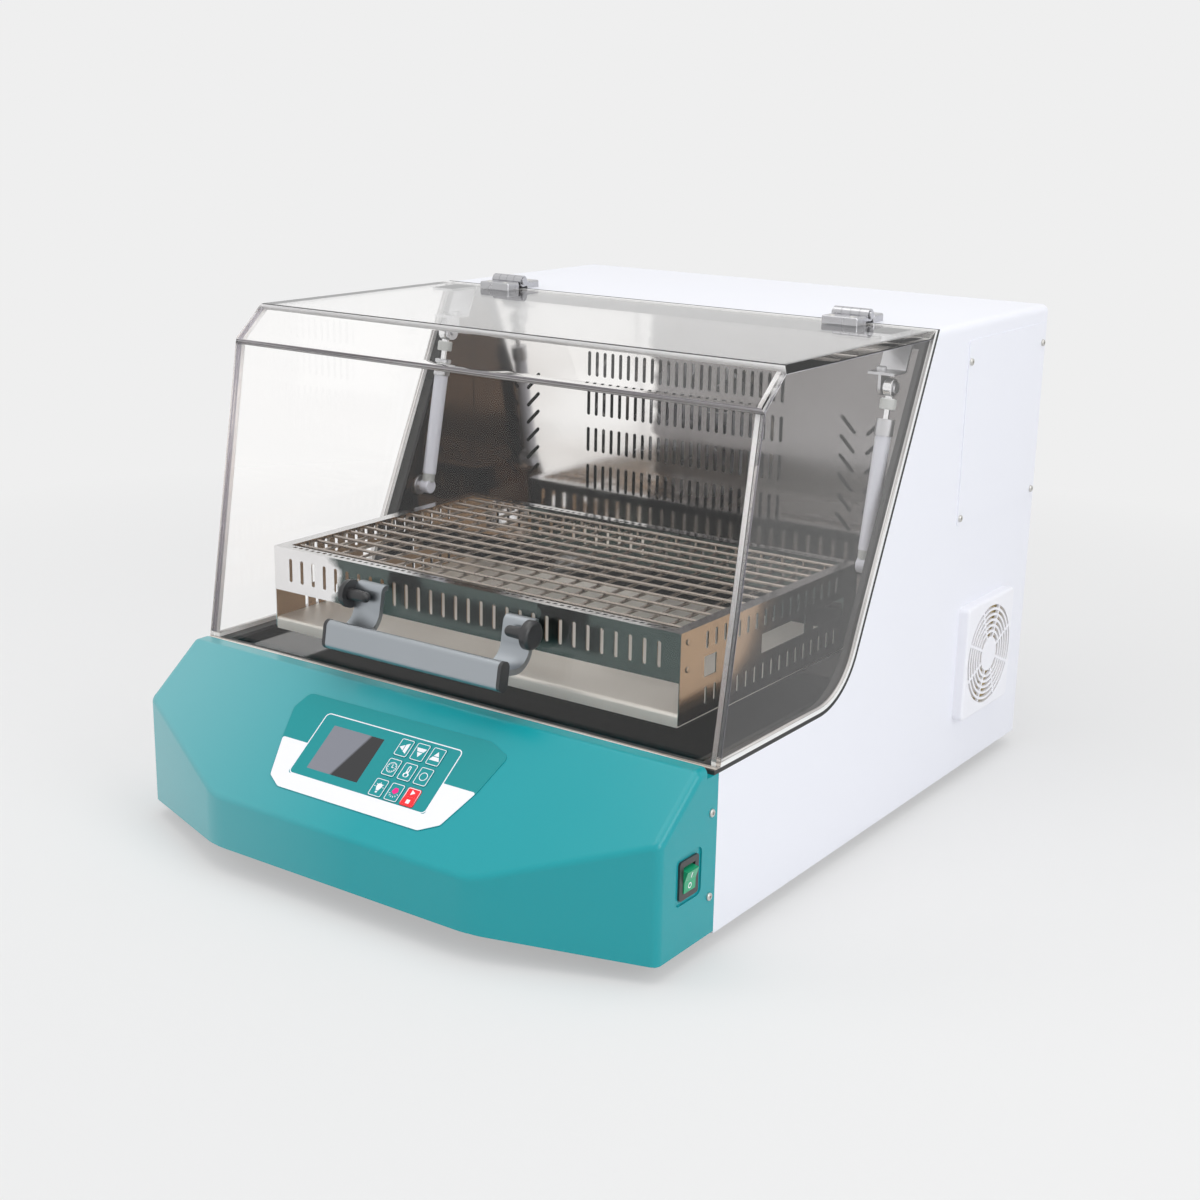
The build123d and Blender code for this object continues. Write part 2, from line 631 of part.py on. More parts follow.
def chamber_liner():
    """Polished stainless chamber, open at the front and top."""
    outer = across(chamber_profile(LINER), (-CHAMBER_HALF - 1, CHAMBER_HALF + 1))
    depth = (JOINT_Y + SILL_DEPTH + LINER, CHAMBER_BACK)
    inner = block((-CHAMBER_HALF, CHAMBER_HALF), depth, (FLOOR_Z, CHAMBER_TOP))
    liner = outer - inner
    liner -= [rod((x, CRANK_Y, 150), (x, CRANK_Y, 160), radius) for x, radius in DRIVE_HOLES]
    liner -= rod((0, 200, BLOWER_Z), (0, 230, BLOWER_Z), 7)
    liner -= [rod((x, 200, z), (x, 230, z), HEATER_TUBE + 0.3) for x, z in heater_ends()]
    return liner - rod((PROBE_X, 200, BLOWER_Z), (PROBE_X, 230, BLOWER_Z), 3.2)


def insulation():
    """Mats between the chamber and the shell."""
    top = CHAMBER_TOP - 6
    edge = opening_edge(-4, top, JOINT_Y + 6)
    low = FLOOR_Z - 6
    side = outline([(JOINT_Y + 6, low, 0), (CHAMBER_BACK, low, 0), (CHAMBER_BACK, top, 0)] + edge)
    mat = across(side, (CHAMBER_HALF + 2, HALF_WIDTH - SHEET - 1))
    back = facing(Pos(0, 330) * Rectangle(500, 280), (CHAMBER_BACK + 2, CHAMBER_BACK + 16))
    back -= rod((0, 200, BLOWER_Z), (0, 240, BLOWER_Z), 30)
    back -= [rod((x, 200, z), (x, 240, z), 6) for x, z in heater_ends()]
    back -= rod((PROBE_X, 200, BLOWER_Z), (PROBE_X, 240, BLOWER_Z), 6)
    return Compound(children=[mat, mirror(mat, about=Plane.YZ), back])


def duct_slots():
    """Upright slots in the middle and slanted ones at both sides."""
    start = -DUCT_PITCH * (DUCT_COLUMNS - 1) / 2
    slots = [Pos(start + DUCT_PITCH * i, z) * Rot(0, 0, 90) * SlotOverall(*DUCT_SLOT)
             for i in range(DUCT_COLUMNS) for z in DUCT_ROWS]
    for side in (-1, 1):
        for z in SLANT_ROWS:
            for x, turn in zip(SLANT_X, (-45, 45)):
                slots.append(Pos(side * x, z - 8) * Rot(0, 0, side * turn) * SlotOverall(*SLANT_SLOT))
    return slots


def duct_panel():
    """Slotted air guide in front of the blower, with folded edges."""
    face = Pos(0, (FLOOR_Z + CHAMBER_TOP) / 2) * Rectangle(2 * CHAMBER_HALF - 1, CHAMBER_TOP - FLOOR_Z - 1)
    panel = facing(face - duct_slots(), (DUCT_Y, DUCT_Y + 1.2))
    ribs = [block((s * (CHAMBER_HALF - 1.1) - 0.6, s * (CHAMBER_HALF - 1.1) + 0.6), (DUCT_Y, DUCT_Y + 14),
                  (FLOOR_Z + 0.5, CHAMBER_TOP - 0.5)) for s in (-1, 1)]
    return panel + ribs


def circulation_impeller():
    """Radial blower wheel with its shaft."""
    plane = Plane(origin=(0, 176, BLOWER_Z), z_dir=(0, 1, 0))
    disc = Pos(0, 0, 13) * Cylinder(75, 1.5)
    vanes = [Rot(0, 0, 30 * i) * Pos(52, 0, 0) * Rot(0, 0, 25) * Box(44, 1.5, 25) for i in range(12)]
    hub = Cylinder(14, 26)
    shaft = rod((0, 176, BLOWER_Z), (0, 250, BLOWER_Z), BLOWER_SHAFT_R)
    return plane * (disc + vanes + hub) + shaft


def circulation_motor():
    """Blower motor on the back of the chamber."""
    back = CHAMBER_BACK + 18
    body = rod((0, back + 4, BLOWER_Z), (0, back + 64, BLOWER_Z), 42)
    flange = facing(Pos(0, BLOWER_Z) * RectangleRounded(110, 110, 10), (back, back + 4))
    return body + flange - rod((0, back - 1, BLOWER_Z), (0, back + 30, BLOWER_Z), BLOWER_SHAFT_R + RUN)


def heater_coil():
    """Tubular heater bent round the blower wheel, its legs through the back wall."""
    ring_axis = Axis((0, HEATER_Y, BLOWER_Z), (0, 1, 0))
    turn = radians(HEATER_GAP / 2)
    start = Plane(origin=(HEATER_R * sin(turn), HEATER_Y, BLOWER_Z - HEATER_R * cos(turn)),
                  x_dir=(0, 1, 0), z_dir=(cos(turn), 0, sin(turn)))
    ring = revolve(start * Circle(HEATER_TUBE), axis=ring_axis, revolution_arc=-(360 - HEATER_GAP))
    legs = [rod((x, HEATER_Y, z), (x, CHAMBER_BACK + 30, z), HEATER_TUBE) for x, z in heater_ends()]
    elbows = [Pos(x, HEATER_Y, z) * Sphere(HEATER_TUBE) for x, z in heater_ends()]
    return ring + legs + elbows


def temperature_probe():
    """Sensor rod in the returning air, with its nut on the back wall."""
    nut = facing(Pos(PROBE_X, BLOWER_Z) * RegularPolygon(7, 6), (CHAMBER_BACK - 6, CHAMBER_BACK))
    return nut + rod((PROBE_X, 165, BLOWER_Z), (PROBE_X, CHAMBER_BACK + 25, BLOWER_Z), 3)


def opening_gasket():
    """Black seal on the frame of the opening."""
    thick = GASKET - GASKET_CLEAR
    side = opening_ribbon(0, thick, TOP, LID_FOOT[0] - 1, (BAND_INNER, HALF_WIDTH))
    header = opening_bar(0, thick, CHAMBER_TOP, TOP, HALF_WIDTH)
    depth = (LID_FOOT[0] - 1, LID_FOOT[0] + 14)
    sill = block((-HALF_WIDTH, HALF_WIDTH), depth, (SILL_Z, SILL_Z + thick - 0.1))
    return side + mirror(side, about=Plane.YZ) + header + sill


# ---------------------------------------------------------------- lid


def lid_line():
    """Outer line of the bent sheet, from the foot to the rear of the top."""
    return [LID_FOOT, LID_CHAMFER, LID_TOP_FRONT, (opening_y(STRIP_INNER, TOP), TOP)]


def lid_sheet():
    """Clear sheet bent into the front, the chamfer and the top."""
    outer = lid_line()
    inner = parallel(outer, -LID_SHEET)
    inner[-1] = (opening_y(STRIP_INNER, TOP - LID_SHEET), TOP - LID_SHEET)
    radii = (0, 10, 10, 0)
    corners = [(y, z, r) for (y, z), r in zip(outer, radii)]
    corners += [(y, z, max(r - 8, 0)) for (y, z), r in zip(inner, radii)][::-1]
    sheet = across(outline(corners), (-HALF_WIDTH, HALF_WIDTH))
    below = block((-HALF_WIDTH - 1, HALF_WIDTH + 1), (LID_FOOT[0] - 5, 0), (0, SILL_Z + GASKET))
    return sheet - below


def lid_side_left():
    """Clear side sheet, under the bent sheet."""
    foot, chamfer, top_front, top_rear = parallel(lid_line(), -LID_SHEET)
    low = SILL_Z + STRIP_INNER
    lean = (chamfer[0] - foot[0]) / (chamfer[1] - foot[1])
    front_low = (foot[0] + lean * (low - foot[1]), low)
    edge = opening_edge(STRIP_INNER, TOP - LID_SHEET, front_low[0])
    corners = edge + [(chamfer[0], chamfer[1], 2), (top_front[0], top_front[1], 2)]
    return across(outline(corners), (-HALF_WIDTH, -HALF_WIDTH + LID_SHEET))


def lid_side_right():
    """Mirror image of the left side sheet."""
    return mirror(lid_side_left(), about=Plane.YZ)


def lid_edge_strip():
    """Pale seal carrier along the lid's rear and lower edges."""
    foot, chamfer = parallel(lid_line(), -LID_SHEET)[:2]
    lean = (chamfer[0] - foot[0]) / (chamfer[1] - foot[1])
    front = foot[0] + lean * (SILL_Z + STRIP_INNER - foot[1])
    side = opening_ribbon(STRIP_OUTER, STRIP_INNER, TOP, front, (HALF_WIDTH - LID_SHEET, HALF_WIDTH))
    header = opening_bar(STRIP_OUTER, STRIP_INNER, TOP - LID_SHEET, TOP, HALF_WIDTH)
    return side + mirror(side, about=Plane.YZ) + header


def knuckle(index):
    """X limits of one hinge knuckle on the right-hand hinge."""
    pitch = (HINGE_X[1] - HINGE_X[0]) / KNUCKLES
    return (HINGE_X[0] + pitch * index + 0.15, HINGE_X[0] + pitch * (index + 1) - 0.15)


def hinge_half(leaf, gap, knuckles):
    """One half of the right-hand hinge: a leaf and its knuckles round the pin's bore."""
    solid = block(HINGE_X, leaf, (TOP, TOP + LEAF))
    solid = fillet(solid.edges().filter_by(Axis.X).group_by(Axis.Z)[-1], 1.5)
    solid = fillet(solid.edges().filter_by(Axis.Z), 2)
    for index in range(KNUCKLES):
        x = knuckle(index)
        if index in knuckles:
            solid += rod((x[0], HINGE_Y, HINGE_Z), (x[1], HINGE_Y, HINGE_Z), BARREL_R)
            solid += block(x, gap, (TOP + 2.5, TOP + LEAF - 0.5))
        else:
            low, high = x[0] - 0.3, x[1] + 0.3
            solid -= rod((low, HINGE_Y, HINGE_Z), (high, HINGE_Y, HINGE_Z), BARREL_R + 0.6)
    return solid - rod((HINGE_X[0] - 5, HINGE_Y, HINGE_Z), (HINGE_X[1] + 5, HINGE_Y, HINGE_Z), PIN_R + RUN)


def hinge_leaves_lid():
    """Hinge halves bolted to the lid."""
    return both_sides(hinge_half(LID_LEAF_Y, (112.0, HINGE_Y), (1, 3)))


def hinge_leaves_cabinet():
    """Hinge halves bolted to the cabinet."""
    return both_sides(hinge_half(CABINET_LEAF_Y, (HINGE_Y, 130.0), (0, 2)))


def hinge_pins():
    """Pins with a head at each end."""
    pin = rod((HINGE_X[0], HINGE_Y, HINGE_Z), (HINGE_X[1], HINGE_Y, HINGE_Z), PIN_R)
    heads = [rod((x, HINGE_Y, HINGE_Z), (x + step, HINGE_Y, HINGE_Z), 4)
             for x, step in ((HINGE_X[0] - 0.1, -1.5), (HINGE_X[1] + 0.1, 1.5))]
    ends = rod((HINGE_X[0] - 0.5, HINGE_Y, HINGE_Z), (HINGE_X[1] + 0.5, HINGE_Y, HINGE_Z), PIN_R)
    return both_sides(pin + ends + heads)


# ---------------------------------------------------------------- handle


def on_face(face, x):
    """A (w, v) face, out of and up the lid's front, made solid along X."""
    plane = Plane(origin=(x[0], *LID_FOOT), x_dir=FACE_NORMAL, z_dir=(-1, 0, 0))
    return extrude(plane * face, amount=x[1] - x[0], dir=(1, 0, 0))


def face_point(x, v, w):
    """Point given by its place on the lid's front."""
    y = LID_FOOT[0] + v * sin(FACE_ANGLE) - w * cos(FACE_ANGLE)
    return (x, y, LID_FOOT[1] + v * cos(FACE_ANGLE) + w * sin(FACE_ANGLE))


def bar_section(grow):
    """Flat oval section of the handle's bar."""
    return Pos(BAR_W, BAR_V) * Rot(0, 0, 90) * SlotOverall(BAR_HEIGHT + 2 * grow, BAR_THICK + 2 * grow)


def handle_bar():
    """Flat oval aluminium bar."""
    return on_face(bar_section(0), (-BAR_HALF, BAR_HALF))


def handle_brackets():
    """Bent strips that hook over at the top and sweep forwards to the bar."""
    corners = [(0.2, 92.5, 0), (9.5, 92.5, 7), (9.5, 50.0, 18), (BAR_W - BAR_THICK / 2 + 2, 49.0, 0)]
    corners += [(BAR_W - BAR_THICK / 2 + 2, 44.0, 0), (4.5, 44.0, 23), (4.5, 87.5, 2.5), (0.2, 87.5, 0)]
    strip = on_face(outline(corners), PLATE_X) - on_face(bar_section(0.3), (-120, 120))
    boss = on_face(Pos(2.4, 79.5) * Rectangle(4.4, 12), (PLATE_X[0] + 8, PLATE_X[1] - 8))
    return both_sides(strip + boss)


def handle_caps():
    """Black end caps of the bar, side caps of the brackets and their rounded fingers."""
    end = on_face(bar_section(0.3), (BAR_HALF, BAR_HALF + END_CAP))
    disc = on_face(Pos(CAP_W, CAP_V) * Circle(CAP_R), (PLATE_X[1], PLATE_X[1] + CAP_THICK))
    disc = fillet(disc.edges().group_by(Axis.X)[-1], CAP_THICK / 2)
    root = Plane(origin=face_point(PLATE_X[1] + 2, CAP_V, FINGER_W), z_dir=(-1, 0, 0))
    finger = root * Cone(*FINGER_R, FINGER_LENGTH, align=(Align.CENTER, Align.CENTER, Align.MIN))
    finger = fillet(finger.edges().group_by(Axis.X)[0], FINGER_R[1] - 0.5)
    return both_sides(end) + both_sides(disc + finger)


# ---------------------------------------------------------------- gas struts


def strut_point(distance, x=STRUT_X):
    """Point on the strut's axis, from its lower pivot."""
    return (x, STRUT_LOW[0] + distance * STRUT_UP[0], STRUT_LOW[1] + distance * STRUT_UP[1])


def strut_cylinder(side):
    """Pressure tube with its sleeve and lower fitting."""
    bore = ROD_R + RUN
    tube = rod(strut_point(TUBE_START), strut_point(TUBE_END), TUBE_R)
    sleeve = rod(strut_point(TUBE_END - 14), strut_point(TUBE_END + 1.5), TUBE_R + 0.8)
    neck = rod(strut_point(4), strut_point(TUBE_START + 3), 5)
    eye = rod(strut_point(0, EYE_X[0] - 1), strut_point(0, EYE_X[1] + 1), EYE_R - 1)
    hole = rod(strut_point(ROD_START - 4), strut_point(TUBE_END + 5), bore)
    solid = tube + sleeve + neck + fillet(eye.edges(), 1.5) - hole
    return solid if side > 0 else mirror(solid, about=Plane.YZ)


def strut_rod(side):
    """Piston rod with its upper eye."""
    shaft = rod(strut_point(ROD_START), strut_point(STRUT_RUN - 6), ROD_R)
    high = STRUT_RUN - CUP_DROP
    cup = rod(strut_point(high - CUP_LENGTH), strut_point(high), CUP_R)
    neck = rod(strut_point(high - 1), strut_point(STRUT_RUN - 5), ROD_R + 1)
    eye = rod(strut_point(STRUT_RUN, EYE_X[0]), strut_point(STRUT_RUN, EYE_X[1]), EYE_R)
    hole = rod(strut_point(STRUT_RUN, 250), strut_point(STRUT_RUN, 290), STUD_R + RUN)
    solid = shaft + cup + neck + fillet(eye.edges(), 1.5) - hole
    return solid if side > 0 else mirror(solid, about=Plane.YZ)


def strut_wall_studs():
    """Round plates and bosses on the chamber's walls, just short of the lower fittings."""
    plate = rod(strut_point(0, CHAMBER_HALF - 2.5), strut_point(0, CHAMBER_HALF), 11)
    boss = rod(strut_point(0, EYE_X[1] + 1.4), strut_point(0, CHAMBER_HALF - 2), 6)
    return both_sides(fillet(plate.edges().sort_by(Axis.X)[0], 0.8) + boss)


def strut_lid_brackets():
    """Bent plates under the lid's top, each with an ear and a stud for the rod's eye."""
    high = TOP - LID_SHEET
    shelf = STRUT_HIGH[1] + 14
    line = [(STRUT_HIGH[0] - 12, shelf), (opening_y(STRIP_INNER + 3, shelf), shelf)]
    line += [(opening_y(STRIP_INNER + 3, high - 1.25), high - 1.25), (70.0, high - 1.25)]
    half = BRACKET_SHEET / 2
    strip = outline(sharp(parallel(line, half) + parallel(line, -half)[::-1]))
    plate = across(strip, BRACKET_X)
    y, z = STRUT_HIGH
    ear = across(outline([(y - 9, shelf, 0), (y + 9, shelf, 0), (y + 9, z - 8, 8), (y - 9, z - 8, 8)]),
                 (EYE_X[0] - 4.5, EYE_X[0] - 1.5))
    stud = rod((EYE_X[0] - 6, y, z), (EYE_X[1] + 0.4, y, z), STUD_R)
    head = rod((EYE_X[1] + 0.3, y, z), (EYE_X[1] + 2.5, y, z), 5)
    bolt = rod((BRACKET_X[0] + 8, y, shelf + half), (BRACKET_X[0] + 8, y, shelf + half + 4), 5)
    bolt = fillet(bolt.edges().group_by(Axis.Z)[-1], 1.5)
    return both_sides(plate + ear + stud + head + bolt)


# ---------------------------------------------------------------- tray


def pin_places():
    """X of each orbit pin with its shaft's radius."""
    return ((0.0, SHAFT_R), (-IDLER_X, IDLER_SHAFT_R), (IDLER_X, IDLER_SHAFT_R))


def tray_platform():
    """Base plate with a turned-down edge and the bearing bosses of the orbit pins."""
    half = TRAY_HALF - TRAY_SHEET - 0.2
    y = (TRAY_FRONT, TRAY_BACK)
    plate = block((-half, half), y, (WALL_LOW - 2, PLATFORM_TOP))
    plate = fillet(plate.edges().filter_by(Axis.X).group_by(Axis.Z)[-1], 3)
    hollow = block((-half + 3, half - 3), (y[0] + 3, y[1] - 3), (WALL_LOW - 5, PLATFORM_TOP - PLATFORM_SHEET))
    solid = plate - hollow
    for x, radius in pin_places():
        solid += rod((x, TRAY_MID, BOSS_LOW), (x, TRAY_MID, PLATFORM_TOP - 1), radius + 7)
        solid -= rod((x, TRAY_MID, BOSS_LOW - 1), (x, TRAY_MID, PIN_TOP + 0.5), radius + RUN)
    return solid


def upright_slots(positions, centre, length):
    """Upright slots at some places along a wall."""
    return [Pos(p, centre) * Rot(0, 0, 90) * SlotOverall(length, 4) for p in positions]


def slot_places(count, middle):
    """Evenly spaced slot places about a middle."""
    return [middle + SLOT_PITCH * (i - (count - 1) / 2) for i in range(count)]


def tray_basket():
    """Slotted walls with riveted corners and an inward rim."""
    end = Pos(0, (FRONT_WALL_LOW + TRAY_TOP) / 2) * Rectangle(2 * TRAY_HALF, TRAY_TOP - FRONT_WALL_LOW)
    count, middle, length = FRONT_SLOTS
    end -= upright_slots(slot_places(count, 0), middle, length)
    front = facing(end, (TRAY_FRONT, TRAY_FRONT + TRAY_SHEET))
    back = facing(end, (TRAY_BACK - TRAY_SHEET, TRAY_BACK))
    wall = Pos(TRAY_MID, (WALL_LOW + TRAY_TOP) / 2) * Rectangle(TRAY_BACK - TRAY_FRONT, TRAY_TOP - WALL_LOW)
    for count, middle, length in SIDE_SLOTS:
        wall -= upright_slots(slot_places(count, TRAY_MID), middle, length)
    low, high = WINDOW_Z
    wall -= [Pos((a + b) / 2, (low + high) / 2) * Rectangle(b - a, high - low) for a, b in WINDOWS]
    side = across(wall, (TRAY_HALF - TRAY_SHEET, TRAY_HALF))
    rim = Pos(0, TRAY_MID) * Rectangle(2 * TRAY_HALF, TRAY_BACK - TRAY_FRONT)
    rim -= Pos(0, TRAY_MID) * Rectangle(2 * (TRAY_HALF - RIM), TRAY_BACK - TRAY_FRONT - 2 * RIM)
    count = 57
    for y in (TRAY_FRONT + RIM - 4.5, TRAY_BACK - RIM + 4.5):
        rim -= [Pos(RIM_PITCH * (i - (count - 1) / 2), y) * Rectangle(4, 4) for i in range(count)]
    top = standing(rim, (TRAY_TOP - TRAY_SHEET, TRAY_TOP))
    basket = front + back + side + mirror(side, about=Plane.YZ) + top
    for s in (-1, 1):
        for y, z in RIVETS:
            head = rod((s * (TRAY_HALF - 0.6), y, z), (s * (TRAY_HALF + 1.6), y, z), 2.8)
            basket += fillet(head.edges().sort_by(Axis.X)[-1 if s > 0 else 0], 1.4)
    return basket


def wire_lines():
    """Start and end of every spring wire: long ones over short ones."""
    high = TRAY_TOP - TRAY_SHEET - WIRE_R
    low = high - 2 * WIRE_R - 0.05
    reach = TRAY_HALF - 4
    lines = []
    for i in range(12):
        y = TRAY_FRONT + WIRE_PITCH * (i + 1)
        lines.append(((-reach, y, high), (reach, y, high)))
    for i in range(18):
        x = WIRE_PITCH * (i - 8.5)
        lines.append(((x, TRAY_FRONT + TRAY_SHEET, low), (x, TRAY_BACK - TRAY_SHEET, low)))
    return lines


def tray_wires():
    """Crossing spring wires that grip the vessels."""
    return Compound(children=[rod(start, end, WIRE_R) for start, end in wire_lines()])


# ---------------------------------------------------------------- orbital drive

def bearing_housings():
    """Flanged bearing tubes of the crank and of the two idlers."""
    solids = []
    floor = UNDERSIDE + 2
    for (x, radius), wall, top in zip(pin_places(), (16, 11, 11), (66.0, 104.0, 104.0)):
        tube = rod((x, CRANK_Y, floor), (x, CRANK_Y, top), radius + wall)
        flange = rod((x, CRANK_Y, floor), (x, CRANK_Y, floor + 6), radius + wall + 16)
        solids.append(tube + flange - rod((x, CRANK_Y, floor + 4), (x, CRANK_Y, top + 1), radius + RUN))
    return Compound(children=solids)


def drive_crank():
    """Shaft with the large pulley, the counterweight and the eccentric pin."""
    shaft = rod((0, CRANK_Y, UNDERSIDE + 8), (0, CRANK_Y, 130), SHAFT_R)
    pulley = rod((0, CRANK_Y, PULLEY_Z[0]), (0, CRANK_Y, PULLEY_Z[1]), CRANK_PULLEY_R)
    hub = rod((0, CRANK_Y, PULLEY_Z[1]), (0, CRANK_Y, 92), 20)
    sector = Circle(78) - Pos(0, -60) * Rectangle(200, 100)
    weight = standing(Pos(0, CRANK_Y) * (sector + Circle(22)), (92, 118))
    disc = rod((0, CRANK_Y, 118), (0, CRANK_Y, 134), 22)
    pin = rod((0, CRANK_Y - ORBIT, 130), (0, CRANK_Y - ORBIT, PIN_TOP), SHAFT_R)
    return shaft + pulley + hub + weight + disc + pin


def idler_crank(side):
    """Small crank that keeps the tray from turning."""
    x = side * IDLER_X
    shaft = rod((x, CRANK_Y, UNDERSIDE + 8), (x, CRANK_Y, 110), IDLER_SHAFT_R)
    disc = rod((x, CRANK_Y, 108), (x, CRANK_Y, 120), 19)
    pin = rod((x, CRANK_Y - ORBIT, 118), (x, CRANK_Y - ORBIT, PIN_TOP), IDLER_SHAFT_R)
    return shaft + disc + pin


def drive_motor():
    """Flat motor that stands on the base pan."""
    floor = UNDERSIDE + 2
    body = rod((0, MOTOR_Y, floor), (0, MOTOR_Y, 62), 42)
    body = fillet(body.edges().group_by(Axis.Z)[-1], 3)
    return body - rod((0, MOTOR_Y, 40), (0, MOTOR_Y, 70), 5 + RUN)


def motor_pulley():
    """Small pulley on the motor's shaft."""
    wheel = rod((0, MOTOR_Y, PULLEY_Z[0]), (0, MOTOR_Y, PULLEY_Z[1]), MOTOR_PULLEY_R)
    return wheel + rod((0, MOTOR_Y, 41), (0, MOTOR_Y, PULLEY_Z[1] + 2), 5)


def belt_face(grow):
    """Outline round both pulleys, grown by a distance."""
    big, small = CRANK_PULLEY_R + grow, MOTOR_PULLEY_R + grow
    spread = MOTOR_Y - CRANK_Y
    lean = asin((big - small) / spread)
    corners = []
    for side, radius, y in ((1, big, CRANK_Y), (1, small, MOTOR_Y), (-1, small, MOTOR_Y), (-1, big, CRANK_Y)):
        corners.append((side * radius * cos(lean), y + radius * sin(lean)))
    face = Polygon(*corners, align=None)
    return face + Pos(0, CRANK_Y) * Circle(big) + Pos(0, MOTOR_Y) * Circle(small)


def drive_belt():
    """Flat belt round both pulleys."""
    low, high = PULLEY_Z[0] + 2, PULLEY_Z[1] - 2
    return standing(belt_face(BELT + 0.3) - belt_face(0.3), (low, high))


# ---------------------------------------------------------------- output

SINGLE_PARTS = (
    base_pan, feet, cabinet_shell, rear_panel, access_panel, case_screws, power_inlet, front_cover,
    panel_overlay, lcd_window, control_board, power_switch_bezel, power_switch_rocker, fan_guard,
    fan_filter, cooling_fan_frame, cooling_fan_impeller, chamber_liner, insulation, duct_panel,
    circulation_impeller, circulation_motor, heater_coil, temperature_probe, opening_gasket, lid_sheet,
    lid_side_left, lid_side_right, lid_edge_strip, hinge_leaves_lid, hinge_leaves_cabinet, hinge_pins,
    handle_bar, handle_brackets, handle_caps, strut_wall_studs, strut_lid_brackets, tray_platform,
    tray_basket, tray_wires, bearing_housings, drive_crank, drive_motor, motor_pulley, drive_belt,
)
KEY_NAMES = (("light", "lamp", "start_stop"), ("timer", "temperature", "speed"), ("left", "down", "up"))

for make in SINGLE_PARTS:
    write(make.__name__, make())
for name, side in (("left", -1), ("right", 1)):
    write(f"strut_cylinder_{name}", strut_cylinder(side))
    write(f"strut_rod_{name}", strut_rod(side))
    write(f"idler_crank_{name}", idler_crank(side))
for column, row in all_keys():
    write(f"key_{KEY_NAMES[row][column]}", key(column, row))
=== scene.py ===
"""Looks of an incubated benchtop shaker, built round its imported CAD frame.

Lengths in the dataclasses are millimetres unless a name says otherwise. X is to the right,
Y to the back and Z up, and Blender's metres come only where a mesh is made.
"""
import logging
import math
from dataclasses import dataclass
from enum import Enum
from functools import cache
from typing import Callable, Iterable, Sequence

import bmesh
import bpy
from mathutils import Matrix, Vector


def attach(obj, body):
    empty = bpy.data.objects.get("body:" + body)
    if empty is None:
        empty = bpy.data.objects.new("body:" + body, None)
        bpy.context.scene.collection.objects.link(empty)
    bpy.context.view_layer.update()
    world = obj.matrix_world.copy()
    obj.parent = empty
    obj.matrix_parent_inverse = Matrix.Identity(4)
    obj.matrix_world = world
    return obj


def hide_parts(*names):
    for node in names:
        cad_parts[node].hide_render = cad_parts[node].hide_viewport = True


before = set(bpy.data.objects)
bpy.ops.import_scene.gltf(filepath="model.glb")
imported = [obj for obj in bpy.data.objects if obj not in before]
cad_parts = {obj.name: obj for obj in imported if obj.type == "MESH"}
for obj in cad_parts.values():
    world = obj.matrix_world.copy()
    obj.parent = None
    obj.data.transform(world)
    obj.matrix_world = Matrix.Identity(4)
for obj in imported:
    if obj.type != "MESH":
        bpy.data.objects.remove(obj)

LOG = logging.getLogger("shaker")
MM = 0.001
Color = tuple[float, float, float]
BLACK = (0.0, 0.0, 0.0)
CLEAN = (1.0, 1.0, 1.0)
Flat = tuple[float, float]
Point = tuple[float, float, float]


def seen(red: int, green: int, blue: int) -> Color:
    """Turn a colour as a screen shows it into the linear colour a shader takes.

    Args:
        red, green, blue: Display values from 0 to 255.

    Returns:
        Linear red, green and blue.
    """
    parts = (value / 255 for value in (red, green, blue))
    return tuple(v / 12.92 if v <= 0.04045 else ((v + 0.055) / 1.055) ** 2.4 for v in parts)


# ---------------------------------------------------------------- finishes

